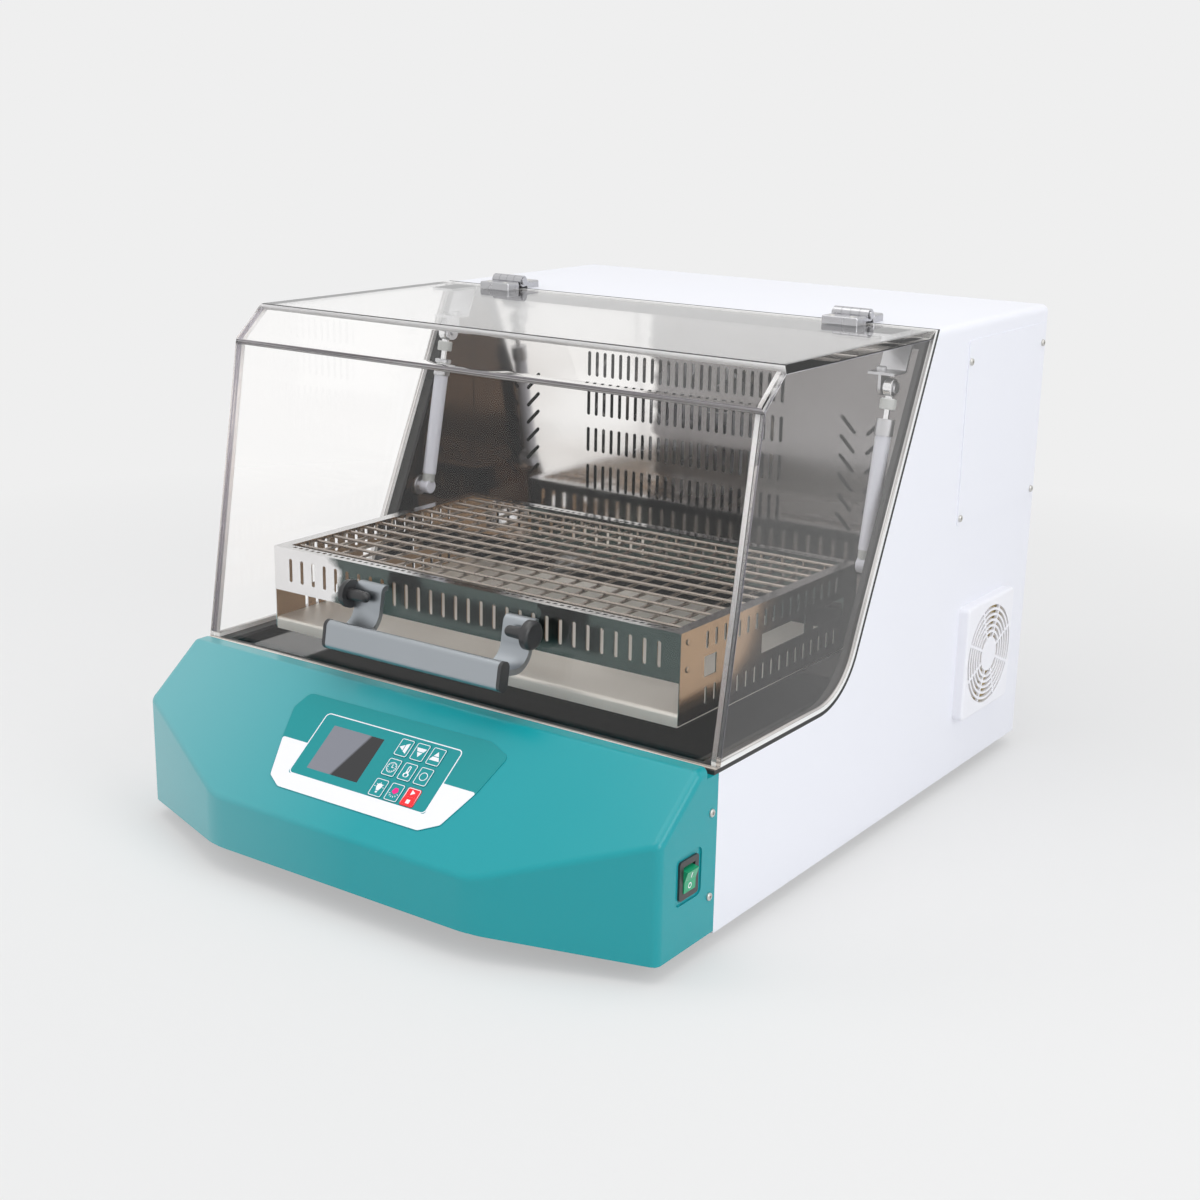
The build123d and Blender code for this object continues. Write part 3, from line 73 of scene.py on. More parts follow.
class Shade:
    """One material with a Principled shader, wired by short calls."""

    def __init__(self, name: str, color: Color, roughness: float, **sockets: float) -> None:
        """Make the material and set what is the same all over it.

        Args:
            name: Name of the material.
            color: Linear base colour.
            roughness: Roughness where nothing drives it.
            sockets: More sockets by name, with underscores for blanks.
        """
        self.material = bpy.data.materials.new(name)
        self.material.use_nodes = True
        self.tree = self.material.node_tree
        self.shader = self.tree.nodes["Principled BSDF"]
        self.output = self.tree.nodes["Material Output"]
        self.shader.inputs["Base Color"].default_value = (*color, 1.0)
        self.shader.inputs["Roughness"].default_value = roughness
        for socket, value in sockets.items():
            self.shader.inputs[socket.replace("_", " ")].default_value = value

    def node(self, kind: str, **settings: object) -> bpy.types.Node:
        """Add a node of a kind and set its properties."""
        made = self.tree.nodes.new(kind)
        for key, value in settings.items():
            setattr(made, key, value)
        return made

    def join(self, source: bpy.types.NodeSocket, target: bpy.types.NodeSocket) -> None:
        """Link one socket to another."""
        self.tree.links.new(source, target)

    def place(self, scale: Point, turn: Point = (0.0, 0.0, 0.0)) -> bpy.types.NodeSocket:
        """Object coordinates, turned and then stretched.

        Args:
            scale: Factor on each axis, in patches per metre.
            turn: Turn about each axis in radians.

        Returns:
            The vector socket.
        """
        source = self.node("ShaderNodeTexCoord")
        mapping = self.node("ShaderNodeMapping")
        mapping.inputs["Scale"].default_value = scale
        mapping.inputs["Rotation"].default_value = turn
        self.join(source.outputs["Object"], mapping.inputs["Vector"])
        return mapping.outputs["Vector"]

    def noise(self, scale: Point, detail: float = 2.0, turn: Point = (0.0, 0.0, 0.0)) -> bpy.types.NodeSocket:
        """Soft noise on object coordinates, from 0 to 1."""
        made = self.node("ShaderNodeTexNoise")
        made.inputs["Scale"].default_value = 1.0
        made.inputs["Detail"].default_value = detail
        self.join(self.place(scale, turn), made.inputs["Vector"])
        return made.outputs["Fac"]

    def span(self, source: bpy.types.NodeSocket, low: float, high: float,
             start: float = 0.3, end: float = 0.7) -> bpy.types.NodeSocket:
        """Map a factor between two limits to two values.

        Args:
            source: The factor.
            low, high: Values at the limits.
            start, end: The limits.

        Returns:
            The value socket.
        """
        made = self.node("ShaderNodeMapRange")
        for key, value in (("From Min", start), ("From Max", end), ("To Min", low), ("To Max", high)):
            made.inputs[key].default_value = value
        self.join(source, made.inputs["Value"])
        return made.outputs["Result"]

    def tint(self, source: bpy.types.NodeSocket, low: Color, high: Color) -> None:
        """Let a factor move the base colour between two colours."""
        self.join(self.blend(source, low, high), self.shader.inputs["Base Color"])

    def parts(self, source: bpy.types.NodeSocket) -> tuple[bpy.types.NodeSocket, ...]:
        """X, Y and Z of a vector."""
        made = self.node("ShaderNodeSeparateXYZ")
        self.join(source, made.inputs["Vector"])
        return tuple(made.outputs)

    def size(self, source: bpy.types.NodeSocket) -> bpy.types.NodeSocket:
        """A value without its sign."""
        made = self.node("ShaderNodeMath", operation="ABSOLUTE")
        self.join(source, made.inputs[0])
        return made.outputs["Value"]

    def sum(self, source: bpy.types.NodeSocket, factor: float, other: bpy.types.NodeSocket) -> bpy.types.NodeSocket:
        """A value times a factor, plus another value."""
        made = self.node("ShaderNodeMath", operation="MULTIPLY_ADD")
        made.inputs[1].default_value = factor
        self.join(source, made.inputs[0])
        self.join(other, made.inputs[2])
        return made.outputs["Value"]

    def blend(self, share: bpy.types.NodeSocket, low: Color | bpy.types.NodeSocket,
              high: Color | bpy.types.NodeSocket) -> bpy.types.NodeSocket:
        """Mix of two colours, each given as a colour or as a socket.

        Args:
            share: Share of the second colour.
            low, high: The colours.

        Returns:
            The colour socket.
        """
        made = self.node("ShaderNodeMix", data_type="RGBA")
        self.join(share, made.inputs[0])
        for index, color in ((6, low), (7, high)):
            if isinstance(color, tuple):
                made.inputs[index].default_value = (*color, 1.0)
            else:
                self.join(color, made.inputs[index])
        return made.outputs[2]

    def gloss(self, source: bpy.types.NodeSocket, low: float, high: float) -> None:
        """Let a factor move the roughness between two values."""
        self.join(self.span(source, low, high), self.shader.inputs["Roughness"])

    def relief(self, *layers: tuple[bpy.types.NodeSocket, float]) -> None:
        """Bump the surface with stacked heights.

        Args:
            layers: Height factors, each with its depth in millimetres.
        """
        below = None
        for height, depth in layers:
            made = self.node("ShaderNodeBump")
            made.inputs["Distance"].default_value = depth * MM
            self.join(height, made.inputs["Height"])
            if below is not None:
                self.join(below, made.inputs["Normal"])
            below = made.outputs["Normal"]
        self.join(below, self.shader.inputs["Normal"])


def mixed(color: Color, other: Color, share: float) -> Color:
    """Colour part of the way from one colour to another."""
    return tuple(a + (b - a) * share for a, b in zip(color, other))


@dataclass(frozen=True)
class Coating:
    """Painted or moulded skin whose colour, gloss and height wander a little.

    Attributes:
        name: Name of the material.
        color: Linear colour.
        roughness: Mean roughness.
        coat: Weight of a clear coat.
        drift: Share by which the colour darkens in patches.
        grain: Patches of fine grain per metre.
        depth: Depth of the fine grain in millimetres.
        shine: Specular level.
        pale: Share of white added towards the object's left end, as a painted reflection.
    """

    name: str
    color: Color
    roughness: float = 0.4
    coat: float = 0.0
    drift: float = 0.04
    grain: float = 1200.0
    depth: float = 0.02
    shine: float = 0.5
    pale: float = 0.0

    def make(self) -> bpy.types.Material:
        """Build the material."""
        shade = Shade(self.name, self.color, self.roughness, Coat_Weight=self.coat,
                      Coat_Roughness=0.08, Specular_IOR_Level=self.shine)
        patches = shade.noise((5.0, 5.0, 5.0), 1.0)
        low, high = mixed(self.color, BLACK, self.drift), mixed(self.color, CLEAN, self.drift / 3)
        color = shade.blend(patches, low, high)
        # Painted reflection: white is mixed into the base colour towards the object's left end.
        if self.pale:
            x, _, _ = shade.parts(shade.place((1.0, 1.0, 1.0)))
            share = shade.span(x, self.pale, 0.0, -0.28, 0.02)
            color = shade.blend(share, color, CLEAN)
        shade.join(color, shade.shader.inputs["Base Color"])
        shade.gloss(shade.noise((12.0, 12.0, 12.0), 1.0), self.roughness * 0.92, self.roughness * 1.1)
        shade.relief((shade.noise((self.grain,) * 3, 2.0), self.depth), (shade.noise((9.0,) * 3, 1.0), self.depth * 4))
        return shade.material


@dataclass(frozen=True)
class Metal:
    """Bare metal with drawn or brushed lines, smears and a slight wave.

    Attributes:
        name: Name of the material.
        color: Linear colour of the reflection.
        roughness: Roughness where the metal is cleanest.
        lines: Grain lines per metre on each axis; the axis with few runs along them.
        depth: Depth of the lines in millimetres.
        wave: Depth in millimetres of the slow wave of rolled sheet.
        smear: Added roughness in smears.
    """

    name: str
    color: Color
    roughness: float = 0.2
    lines: Point = (12.0, 900.0, 900.0)
    depth: float = 0.004
    wave: float = 0.0
    smear: float = 0.12

    def make(self) -> bpy.types.Material:
        """Build the material."""
        shade = Shade(self.name, self.color, self.roughness, Metallic=1.0)
        lines = shade.noise(self.lines, 3.0)
        smears = shade.noise((11.0, 11.0, 11.0), 6.0)
        shade.tint(smears, mixed(self.color, (0.1, 0.09, 0.08), 0.1), self.color)
        shade.gloss(smears, self.roughness + self.smear, self.roughness)
        shade.relief((lines, self.depth), (shade.noise((5.0, 5.0, 5.0), 0.0), self.wave))
        return shade.material


@dataclass(frozen=True)
class Mirror:
    """Mirror-bright sheet whose base colour holds painted reflections, a different tint on each side.

    Attributes:
        name: Name of the material.
        flat: Linear colour of the painted reflection on level faces.
        left, right: Linear colours of the painted reflections on the faces across the object, on both sides of a
            wavering line.
        side: Linear colour of the painted reflection on the side walls.
        turn_x: X of that line in millimetres.
        roughness: Roughness where the sheet is cleanest.
        drift: Share by which the tint wanders in patches.
    """

    name: str
    flat: Color
    left: Color
    right: Color
    side: Color
    turn_x: float
    roughness: float = 0.1
    drift: float = 0.35

    def make(self) -> bpy.types.Material:
        """Build the material."""
        shade = Shade(self.name, self.flat, self.roughness, Metallic=1.0)
        # Painted reflections: the base colour follows X and the way each face points.
        x, _, _ = shade.parts(shade.place((1.0, 1.0, 1.0)))
        facing = shade.parts(shade.node("ShaderNodeNewGeometry").outputs["Normal"])
        edge = shade.sum(shade.noise((14.0, 14.0, 26.0), 4.0), 0.05, x)
        middle = self.turn_x * MM + 0.025
        across = shade.blend(shade.span(edge, 0.0, 1.0, middle - 0.004, middle + 0.004), self.left, self.right)
        upright = shade.blend(shade.size(facing[1]), self.flat, across)
        whole = shade.blend(shade.size(facing[0]), upright, self.side)
        patches = shade.noise((4.0, 6.0, 9.0), 2.0)
        dim = shade.node("ShaderNodeMix", data_type="RGBA", blend_type="MULTIPLY")
        shade.join(shade.span(patches, self.drift, 0.0, 0.35, 0.65), dim.inputs[0])
        shade.join(whole, dim.inputs[6])
        dim.inputs[7].default_value = (0.32, 0.25, 0.2, 1.0)
        shade.join(dim.outputs[2], shade.shader.inputs["Base Color"])
        shade.gloss(shade.noise((11.0, 11.0, 11.0), 6.0), self.roughness * 2, self.roughness)
        shade.relief((shade.noise((500.0, 500.0, 9.0), 3.0), 0.003), (shade.noise((5.0,) * 3, 0.0), 0.15))
        return shade.material


@dataclass(frozen=True)
class Screen:
    """Dark display glass with a pale painted reflection across one side.

    Attributes:
        name: Name of the material.
        color: Linear colour of the dark glass.
        sheen: Linear colour of the painted reflection.
        turn_x: X in millimetres where the sheen ends.
    """

    name: str
    color: Color
    sheen: Color
    turn_x: float

    def make(self) -> bpy.types.Material:
        """Build the material."""
        shade = Shade(self.name, self.color, 0.08, Coat_Weight=0.5, Coat_Roughness=0.03)
        x, y, _ = shade.parts(shade.place((1.0, 1.0, 1.0)))
        middle = self.turn_x * MM + 0.334 * 0.45
        # Painted reflection: the base colour turns pale on one side of a slanted line.
        line = shade.span(shade.sum(y, -0.45, x), 1.0, 0.0, middle - 0.0015, middle + 0.0015)
        shade.tint(line, self.color, self.sheen)
        shade.relief((shade.noise((60.0,) * 3, 2.0), 0.01))
        return shade.material


@dataclass(frozen=True)
class CutEdge:
    """Cut and glued edge of clear sheet, streaked along its run.

    Attributes:
        name: Name of the material.
        dark, mid, pale: Linear colours of the streaks.
        scale: Streaks per metre on each axis.
        share: Middle of the range where mid turns to pale.
        rim: Distance from the object's middle where the streaks begin; inside it the edge is painted pale, as painted
            light for the brightness seen through the clear sheet.
    """

    name: str
    dark: Color
    mid: Color
    pale: Color
    scale: Point
    share: float = 0.55
    rim: float = 0.0

    def make(self) -> bpy.types.Material:
        """Build the material."""
        shade = Shade(self.name, self.mid, 0.25, Coat_Weight=0.6, Coat_Roughness=0.1)
        ramp = shade.node("ShaderNodeValToRGB")
        stops = ramp.color_ramp.elements
        stops[0].position, stops[0].color = 0.34, (*self.dark, 1.0)
        stops[1].position, stops[1].color = self.share + 0.08, (*self.pale, 1.0)
        middle = stops.new(self.share - 0.07)
        middle.color = (*self.mid, 1.0)
        shade.join(shade.noise(self.scale, 3.0), ramp.inputs["Fac"])
        # Painted light: inside the rim the edge is pale, standing in for the brightness seen through the clear sheet.
        x, _, _ = shade.parts(shade.place((1.0, 1.0, 1.0)))
        outside = shade.span(shade.size(x), 0.0, 1.0, self.rim - 0.0004, self.rim)
        shade.join(shade.blend(outside, self.pale, ramp.outputs["Color"]), shade.shader.inputs["Base Color"])
        shade.relief((shade.noise(self.scale, 2.0), 0.08))
        return shade.material


@dataclass(frozen=True)
class Acrylic:
    """Clear cast sheet that lets the lamps through and warms along its cut edges.

    Attributes:
        name: Name of the material.
        color: Linear tint of what passes.
        absorb: Linear colour left over after a long way inside the sheet.
        density: Absorption per metre.
    """

    name: str
    color: Color
    absorb: Color
    density: float

    def make(self) -> bpy.types.Material:
        """Build the material."""
        shade = Shade(self.name, self.color, 0.0, IOR=1.33, Transmission_Weight=1.0)
        path = shade.node("ShaderNodeLightPath")
        clear = shade.node("ShaderNodeBsdfTransparent")
        clear.inputs["Color"].default_value = (*mixed(self.color, (1.0, 1.0, 1.0), 0.3), 1.0)
        pick = shade.node("ShaderNodeMixShader")
        shade.join(path.outputs["Is Shadow Ray"], pick.inputs["Fac"])
        shade.join(shade.shader.outputs["BSDF"], pick.inputs[1])
        shade.join(clear.outputs["BSDF"], pick.inputs[2])
        shade.join(pick.outputs["Shader"], shade.output.inputs["Surface"])
        body = shade.node("ShaderNodeVolumeAbsorption")
        body.inputs["Color"].default_value = (*self.absorb, 1.0)
        body.inputs["Density"].default_value = self.density
        shade.join(body.outputs["Volume"], shade.output.inputs["Volume"])
        return shade.material


WHITE = seen(242, 243, 250)
TEAL = seen(18, 158, 166)
FILM_TEAL = seen(6, 146, 150)


class Finish(Enum):
    """Every finish of the instrument."""

    ENAMEL = Coating("enamel_paint", WHITE, 0.32, 0.0, 0.012, 300.0, 0.0006)
    # COVER's last value paints a reflection: white added towards the cover's left end.
    COVER = Coating("teal_cover", TEAL, 0.24, 0.0, 0.02, 300.0, 0.0004, 0.42, 0.14)
    FILM = Coating("teal_film", FILM_TEAL, 0.30, 0.0, 0.02, 600.0, 0.0006, 0.4)
    PRINT = Coating("white_print", seen(248, 248, 254), 0.35, 0.0, 0.01, 1500.0, 0.004)
    RED_PRINT = Coating("red_print", seen(250, 28, 40), 0.35, 0.1, 0.03, 1500.0, 0.004)
    PINK_PRINT = Coating("pink_print", seen(250, 10, 140), 0.35, 0.0, 0.03, 1500.0, 0.004)
    WHITE_MOULDING = Coating("white_moulding", seen(246, 246, 251), 0.38, 0.0, 0.02, 500.0, 0.003)
    BLACK_MOULDING = Coating("black_moulding", seen(24, 24, 27), 0.32, 0.1, 0.15, 1400.0, 0.01)
    GREEN_MOULDING = Coating("green_moulding", seen(12, 168, 116), 0.25, 0.2, 0.04, 1200.0, 0.006)
    GREY_FITTING = Coating("grey_fitting", seen(176, 178, 176), 0.4, 0.0, 0.06, 1200.0, 0.02)
    STRUT_PAINT = Coating("strut_paint", seen(192, 193, 202), 0.28, 0.2, 0.03, 900.0, 0.006)
    RUBBER = Coating("seal_rubber", seen(18, 18, 19), 0.5, 0.0, 0.2, 900.0, 0.02, 0.25)
    STRIP = Coating("pale_strip", seen(244, 243, 242), 0.5, 0.0, 0.05, 900.0, 0.03)
    # SCREEN's second colour is a painted reflection across one side of the glass.
    SCREEN = Screen("display_screen", (0.006, 0.006, 0.008), seen(128, 130, 140), -33.0)
    BOARD = Coating("board_lacquer", seen(24, 92, 50), 0.4, 0.2, 0.1, 500.0, 0.03)
    ZINC = Coating("zinc_sheet", seen(168, 170, 174), 0.42, 0.0, 0.12, 90.0, 0.01)
    MOTOR = Coating("motor_paint", seen(52, 54, 58), 0.4, 0.1, 0.1, 800.0, 0.03)
    FLEECE = Coating("filter_fleece", seen(222, 200, 148), 0.95, 0.0, 0.25, 420.0, 0.9, 0.1)
    WOOL = Coating("insulation_wool", seen(226, 208, 150), 0.95, 0.0, 0.3, 200.0, 1.5, 0.1)
    # CHAMBER, DUCT and TRAY carry painted reflections in their colours.
    CHAMBER = Mirror("polished_chamber", (0.03, 0.03, 0.03), (0.16, 0.155, 0.15), (0.08, 0.075, 0.075),
                     (0.075, 0.045, 0.027), 0.0, 0.05)
    DUCT = Mirror("duct_sheet", (0.4, 0.4, 0.4), (0.88, 0.87, 0.86), (0.24, 0.23, 0.23), (0.2, 0.2, 0.2), -30.0, 0.075)
    PLATFORM = Metal("platform_sheet", (0.84, 0.81, 0.76), 0.46, (9.0, 500.0, 500.0), 0.004, 0.2, 0.14)
    TRAY = Mirror("tray_sheet", (0.62, 0.62, 0.62), (0.84, 0.84, 0.85), (0.06, 0.085, 0.08), (0.42, 0.28, 0.17),
                  -160.0, 0.09, 0.2)
    WIRE = Metal("drawn_wire", (0.40, 0.35, 0.31), 0.2, (900.0, 900.0, 900.0), 0.01, 0.0, 0.12)
    # EDGE's rim paints the inner part of the joint pale as painted light.
    EDGE = CutEdge("cut_edge", seen(154, 151, 162), seen(190, 188, 200), seen(250, 250, 252), (500.0, 9.0, 9.0), 0.62, 0.297)
    REAR_EDGE = CutEdge("rear_edge", seen(128, 124, 122), seen(206, 203, 202), seen(246, 245, 245), (700.0, 7.0, 7.0))
    FOOT_EDGE = CutEdge("foot_edge", seen(150, 140, 132), seen(225, 215, 205), seen(252, 248, 244), (6.0, 500.0, 500.0))
    # The two glued joints are lit and shaded copies of one joint: the lower one painted dark as painted shade, the
    # upper one pale as a painted highlight.
    MITRE = CutEdge("glued_mitre", seen(112, 107, 110), seen(166, 162, 166), seen(226, 224, 227), (4.0, 420.0, 420.0))
    HIGH_MITRE = CutEdge("pale_mitre", seen(226, 224, 226), seen(243, 242, 243), seen(250, 250, 250), (5.0, 700.0, 700.0))
    SATIN = Metal("satin_hinge", (0.56, 0.56, 0.58), 0.24, (8.0, 1200.0, 1200.0), 0.006, 0.0, 0.1)
    HANDLE = Metal("anodised_handle", (0.42, 0.45, 0.48), 0.34, (10.0, 1400.0, 1400.0), 0.008, 0.0, 0.06)
    SCREW = Metal("plated_screw", (0.66, 0.65, 0.62), 0.25, (900.0, 900.0, 900.0), 0.01, 0.0, 0.2)
    CHROME = Metal("chromed_rod", (0.82, 0.82, 0.83), 0.06, (900.0, 900.0, 12.0), 0.001, 0.0, 0.03)
    HEATER = Metal("heater_sheath", (0.36, 0.31, 0.27), 0.35, (300.0, 300.0, 300.0), 0.01, 0.0, 0.2)
    CASTING = Metal("rough_casting", (0.32, 0.32, 0.33), 0.42, (600.0, 600.0, 600.0), 0.03, 0.0, 0.2)
    ACRYLIC = Acrylic("cast_acrylic", (1.0, 0.998, 0.995), (0.95, 0.82, 0.72), 1.6)

    @cache
    def material(self) -> bpy.types.Material:
        """The material of this finish, made when it is first asked for."""
        return self.value.make()


NODE_FINISHES: dict[Finish, tuple[str, ...]] = {
    Finish.ENAMEL: ("cabinet_shell", "rear_panel", "access_panel"),
    Finish.COVER: ("front_cover",),
    Finish.FILM: ("panel_overlay", "key_light", "key_lamp", "key_timer", "key_temperature", "key_speed",
                  "key_left", "key_down", "key_up"),
    Finish.RED_PRINT: ("key_start_stop",),
    Finish.WHITE_MOULDING: ("fan_guard",),
    Finish.BLACK_MOULDING: ("power_inlet", "power_switch_bezel", "cooling_fan_frame", "cooling_fan_impeller",
                            "handle_caps"),
    Finish.GREEN_MOULDING: ("power_switch_rocker",),
    Finish.STRUT_PAINT: ("strut_cylinder_left", "strut_cylinder_right"),
    Finish.RUBBER: ("opening_gasket", "feet", "drive_belt"),
    Finish.STRIP: ("lid_edge_strip",),
    Finish.SCREEN: ("lcd_window",),
    Finish.BOARD: ("control_board",),
    Finish.ZINC: ("base_pan",),
    Finish.MOTOR: ("circulation_motor", "drive_motor"),
    Finish.FLEECE: ("fan_filter",),
    Finish.WOOL: ("insulation",),
    Finish.CHAMBER: ("chamber_liner",),
    Finish.DUCT: ("duct_panel",),
    Finish.TRAY: ("tray_basket",),
    Finish.PLATFORM: ("tray_platform",),
    Finish.SATIN: ("hinge_leaves_lid", "hinge_leaves_cabinet", "hinge_pins", "strut_wall_studs",
                   "strut_lid_brackets", "circulation_impeller", "temperature_probe", "motor_pulley"),
    Finish.HANDLE: ("handle_bar", "handle_brackets"),
    Finish.SCREW: ("case_screws",),
    Finish.CHROME: ("strut_rod_left", "strut_rod_right"),
    Finish.HEATER: ("heater_coil",),
    Finish.CASTING: ("bearing_housings", "drive_crank", "idler_crank_left", "idler_crank_right"),
    Finish.ACRYLIC: ("lid_sheet", "lid_side_left", "lid_side_right"),
}


def dress_nodes() -> None:
    """Give every carried-over node its finish."""
    for finish, names in NODE_FINISHES.items():
        for name in names:
            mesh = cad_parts[name].data
            mesh.materials.clear()
            mesh.materials.append(finish.material())
        LOG.info("%s on %d nodes", finish.value.name, len(names))


# ---------------------------------------------------------------- mesh making

def linked(name: str, mesh: bpy.types.Mesh, finish: Finish) -> bpy.types.Object:
    """Put a mesh into the scene with one finish."""
    made = bpy.data.objects.new(name, mesh)
    bpy.context.scene.collection.objects.link(made)
    mesh.materials.clear()
    mesh.materials.append(finish.material())
    return made


def frozen(source: bpy.types.Object, name: str, place: Matrix) -> bpy.types.Mesh:
    """Plain mesh of an object with its modifiers and its place applied.

    Args:
        source: Object that is removed afterwards.
        name: Name of the mesh.
        place: Matrix that puts it into the row frame.

    Returns:
        The mesh.
    """
    bpy.context.view_layer.update()
    depsgraph = bpy.context.evaluated_depsgraph_get()
    mesh = bpy.data.meshes.new_from_object(source.evaluated_get(depsgraph))
    mesh.name = name
    mesh.transform(place)
    bpy.data.objects.remove(source)
    return mesh


def rounded(corners: Sequence[tuple[float, float, float]], steps: int = 6) -> list[Flat]:
    """Closed line through (u, v, radius) corners, with arcs at the corners.

    Args:
        corners: Corner places with their radii.
        steps: Straight pieces per arc.

    Returns:
        Points of the line.
    """
    points: list[Flat] = []
    count = len(corners)
    for index, (u, v, radius) in enumerate(corners):
        here = Vector((u, v))
        if not radius:
            points.append((u, v))
            continue
        before = (Vector(corners[index - 1][:2]) - here).normalized()
        after = (Vector(corners[(index + 1) % count][:2]) - here).normalized()
        half = before.angle(after) / 2
        middle = here + (before + after).normalized() * (radius / math.sin(half))
        start = here + before * (radius / math.tan(half))
        sweep = (here + after * (radius / math.tan(half)) - middle)
        first = start - middle
        turn = first.angle_signed(sweep)
        for step in range(steps + 1):
            arm = Matrix.Rotation(-turn * step / steps, 2) @ first
            points.append(tuple(middle + arm))
    return points


def box_line(low: Flat, high: Flat, radius: float) -> list[Flat]:
    """Closed rounded rectangle."""
    return rounded([(low[0], low[1], radius), (high[0], low[1], radius), (high[0], high[1], radius),
                    (low[0], high[1], radius)])


def ring_line(centre: Flat, radius: float, steps: int = 40) -> list[Flat]:
    """Closed circle."""
    turns = (math.tau * step / steps for step in range(steps))
    return [(centre[0] + radius * math.cos(t), centre[1] + radius * math.sin(t)) for t in turns]


def flat_mesh(name: str, lines: Iterable[Sequence[Flat]], low: float, high: float, plane: Matrix) -> bpy.types.Mesh:
    """Thin solid between two heights on a plane; a line inside another cuts a hole.

    Args:
        name: Name of the mesh.
        lines: Closed lines in millimetres.
        low, high: Heights above the plane in millimetres.
        plane: Matrix of the plane, in metres.

    Returns:
        The mesh.
    """
    curve = bpy.data.curves.new(name, "CURVE")
    curve.dimensions = "2D"
    curve.fill_mode = "BOTH"
    curve.extrude = (high - low) / 2 * MM
    for line in lines:
        spline = curve.splines.new("POLY")
        spline.points.add(len(line) - 1)
        for point, (u, v) in zip(spline.points, line):
            point.co = (u * MM, v * MM, 0.0, 1.0)
        spline.use_cyclic_u = True
    source = bpy.data.objects.new(name, curve)
    bpy.context.scene.collection.objects.link(source)
    mesh = frozen(source, name, plane @ Matrix.Translation((0, 0, (low + high) / 2 * MM)))
    bpy.data.curves.remove(curve)
    return mesh


def joined(name: str, meshes: Sequence[bpy.types.Mesh], finish: Finish) -> bpy.types.Object:
    """One object from several meshes."""
    work = bmesh.new()
    for mesh in meshes:
        work.from_mesh(mesh)
        bpy.data.meshes.remove(mesh)
    whole = bpy.data.meshes.new(name)
    work.to_mesh(whole)
    work.free()
    return linked(name, whole, finish)


def worn(piece: bpy.types.Object, body: str) -> bpy.types.Object:
    """Let a piece ride on a body."""
    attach(piece, body)
    return piece


def sheet_plane() -> Matrix:
    """Matrix that stands a (y, z) outline up, its thickness along X."""
    return Matrix(((0, 0, 1, 0), (1, 0, 0, 0), (0, 1, 0, 0), (0, 0, 0, 1)))


def turned(name: str, profile: Sequence[Flat], start: Point, axis: Point, steps: int = 48) -> bpy.types.Mesh:
    """Ring turned from a closed profile.

    Args:
        name: Name of the mesh.
        profile: (distance along the axis, radius) corners in millimetres.
        start, axis: Place of distance 0 in millimetres and direction of the axis.
        steps: Facets round the ring.

    Returns:
        The mesh.
    """
    turn = Vector(axis).to_track_quat("Z", "Y").to_matrix().to_4x4()
    place = Matrix.Translation(Vector(start) * MM) @ turn
    work = bmesh.new()
    rings = []
    for step in range(steps):
        angle = math.tau * step / steps
        spoke = (math.cos(angle), math.sin(angle))
        rings.append([work.verts.new((r * spoke[0] * MM, r * spoke[1] * MM, d * MM)) for d, r in profile])
    for one, two in zip(rings, rings[1:] + rings[:1]):
        for i in range(len(profile)):
            j = (i + 1) % len(profile)
            work.faces.new((one[i], two[i], two[j], one[j])).smooth = True
    bmesh.ops.recalc_face_normals(work, faces=work.faces)
    work.transform(place)
    mesh = bpy.data.meshes.new(name)
    work.to_mesh(mesh)
    work.free()
    mesh.set_sharp_from_angle(angle=math.radians(35))
    return mesh


class RowKind(Enum):
    """What a row repeats."""

    SOLID = "solid_row"
    SWEPT = "swept_row"

    def group(self) -> bpy.types.NodeTree:
        """Geometry Nodes group that repeats its piece along a line, made when first asked for."""
        found = bpy.data.node_groups.get(self.value)
        if found:
            return found
        group = bpy.data.node_groups.new(self.value, "GeometryNodeTree")
        for label, kind in (("Piece", "Geometry"), ("Count", "Int"), ("Start", "Vector"), ("Step", "Vector"),
                            ("Radius", "Float"), ("Material", "Material")):
            group.interface.new_socket(label, in_out="INPUT", socket_type=f"NodeSocket{kind}")
        group.interface.new_socket("Result", in_out="OUTPUT", socket_type="NodeSocketGeometry")

        def node(kind: str) -> bpy.types.Node:
            """Add a node."""
            return group.nodes.new(kind)

        given, result, line = node("NodeGroupInput"), node("NodeGroupOutput"), node("GeometryNodeMeshLine")
        line.mode = "OFFSET"
        copies, real, paint = (node(f"GeometryNode{kind}") for kind in
                               ("InstanceOnPoints", "RealizeInstances", "SetMaterial"))
        links = [(given.outputs["Count"], line.inputs["Count"]), (given.outputs["Start"], line.inputs["Start Location"]),
                 (given.outputs["Step"], line.inputs["Offset"]), (line.outputs["Mesh"], copies.inputs["Points"]),
                 (copies.outputs["Instances"], real.inputs["Geometry"]),
                 (real.outputs["Geometry"], paint.inputs["Geometry"]),
                 (given.outputs["Material"], paint.inputs["Material"]), (paint.outputs["Geometry"], result.inputs[0])]
        if self is RowKind.SWEPT:
            path, ring, bar = (node(f"GeometryNode{kind}") for kind in
                               ("MeshToCurve", "CurvePrimitiveCircle", "CurveToMesh"))
            ring.inputs["Resolution"].default_value = 12
            bar.inputs["Fill Caps"].default_value = True
            links += [(given.outputs["Piece"], path.inputs["Mesh"]), (path.outputs["Curve"], bar.inputs["Curve"]),
                      (given.outputs["Radius"], ring.inputs["Radius"]),
                      (ring.outputs["Curve"], bar.inputs["Profile Curve"]),
                      (bar.outputs["Mesh"], copies.inputs["Instance"])]
        else:
            links.append((given.outputs["Piece"], copies.inputs["Instance"]))
        for source, target in links:
            group.links.new(source, target)
        return group


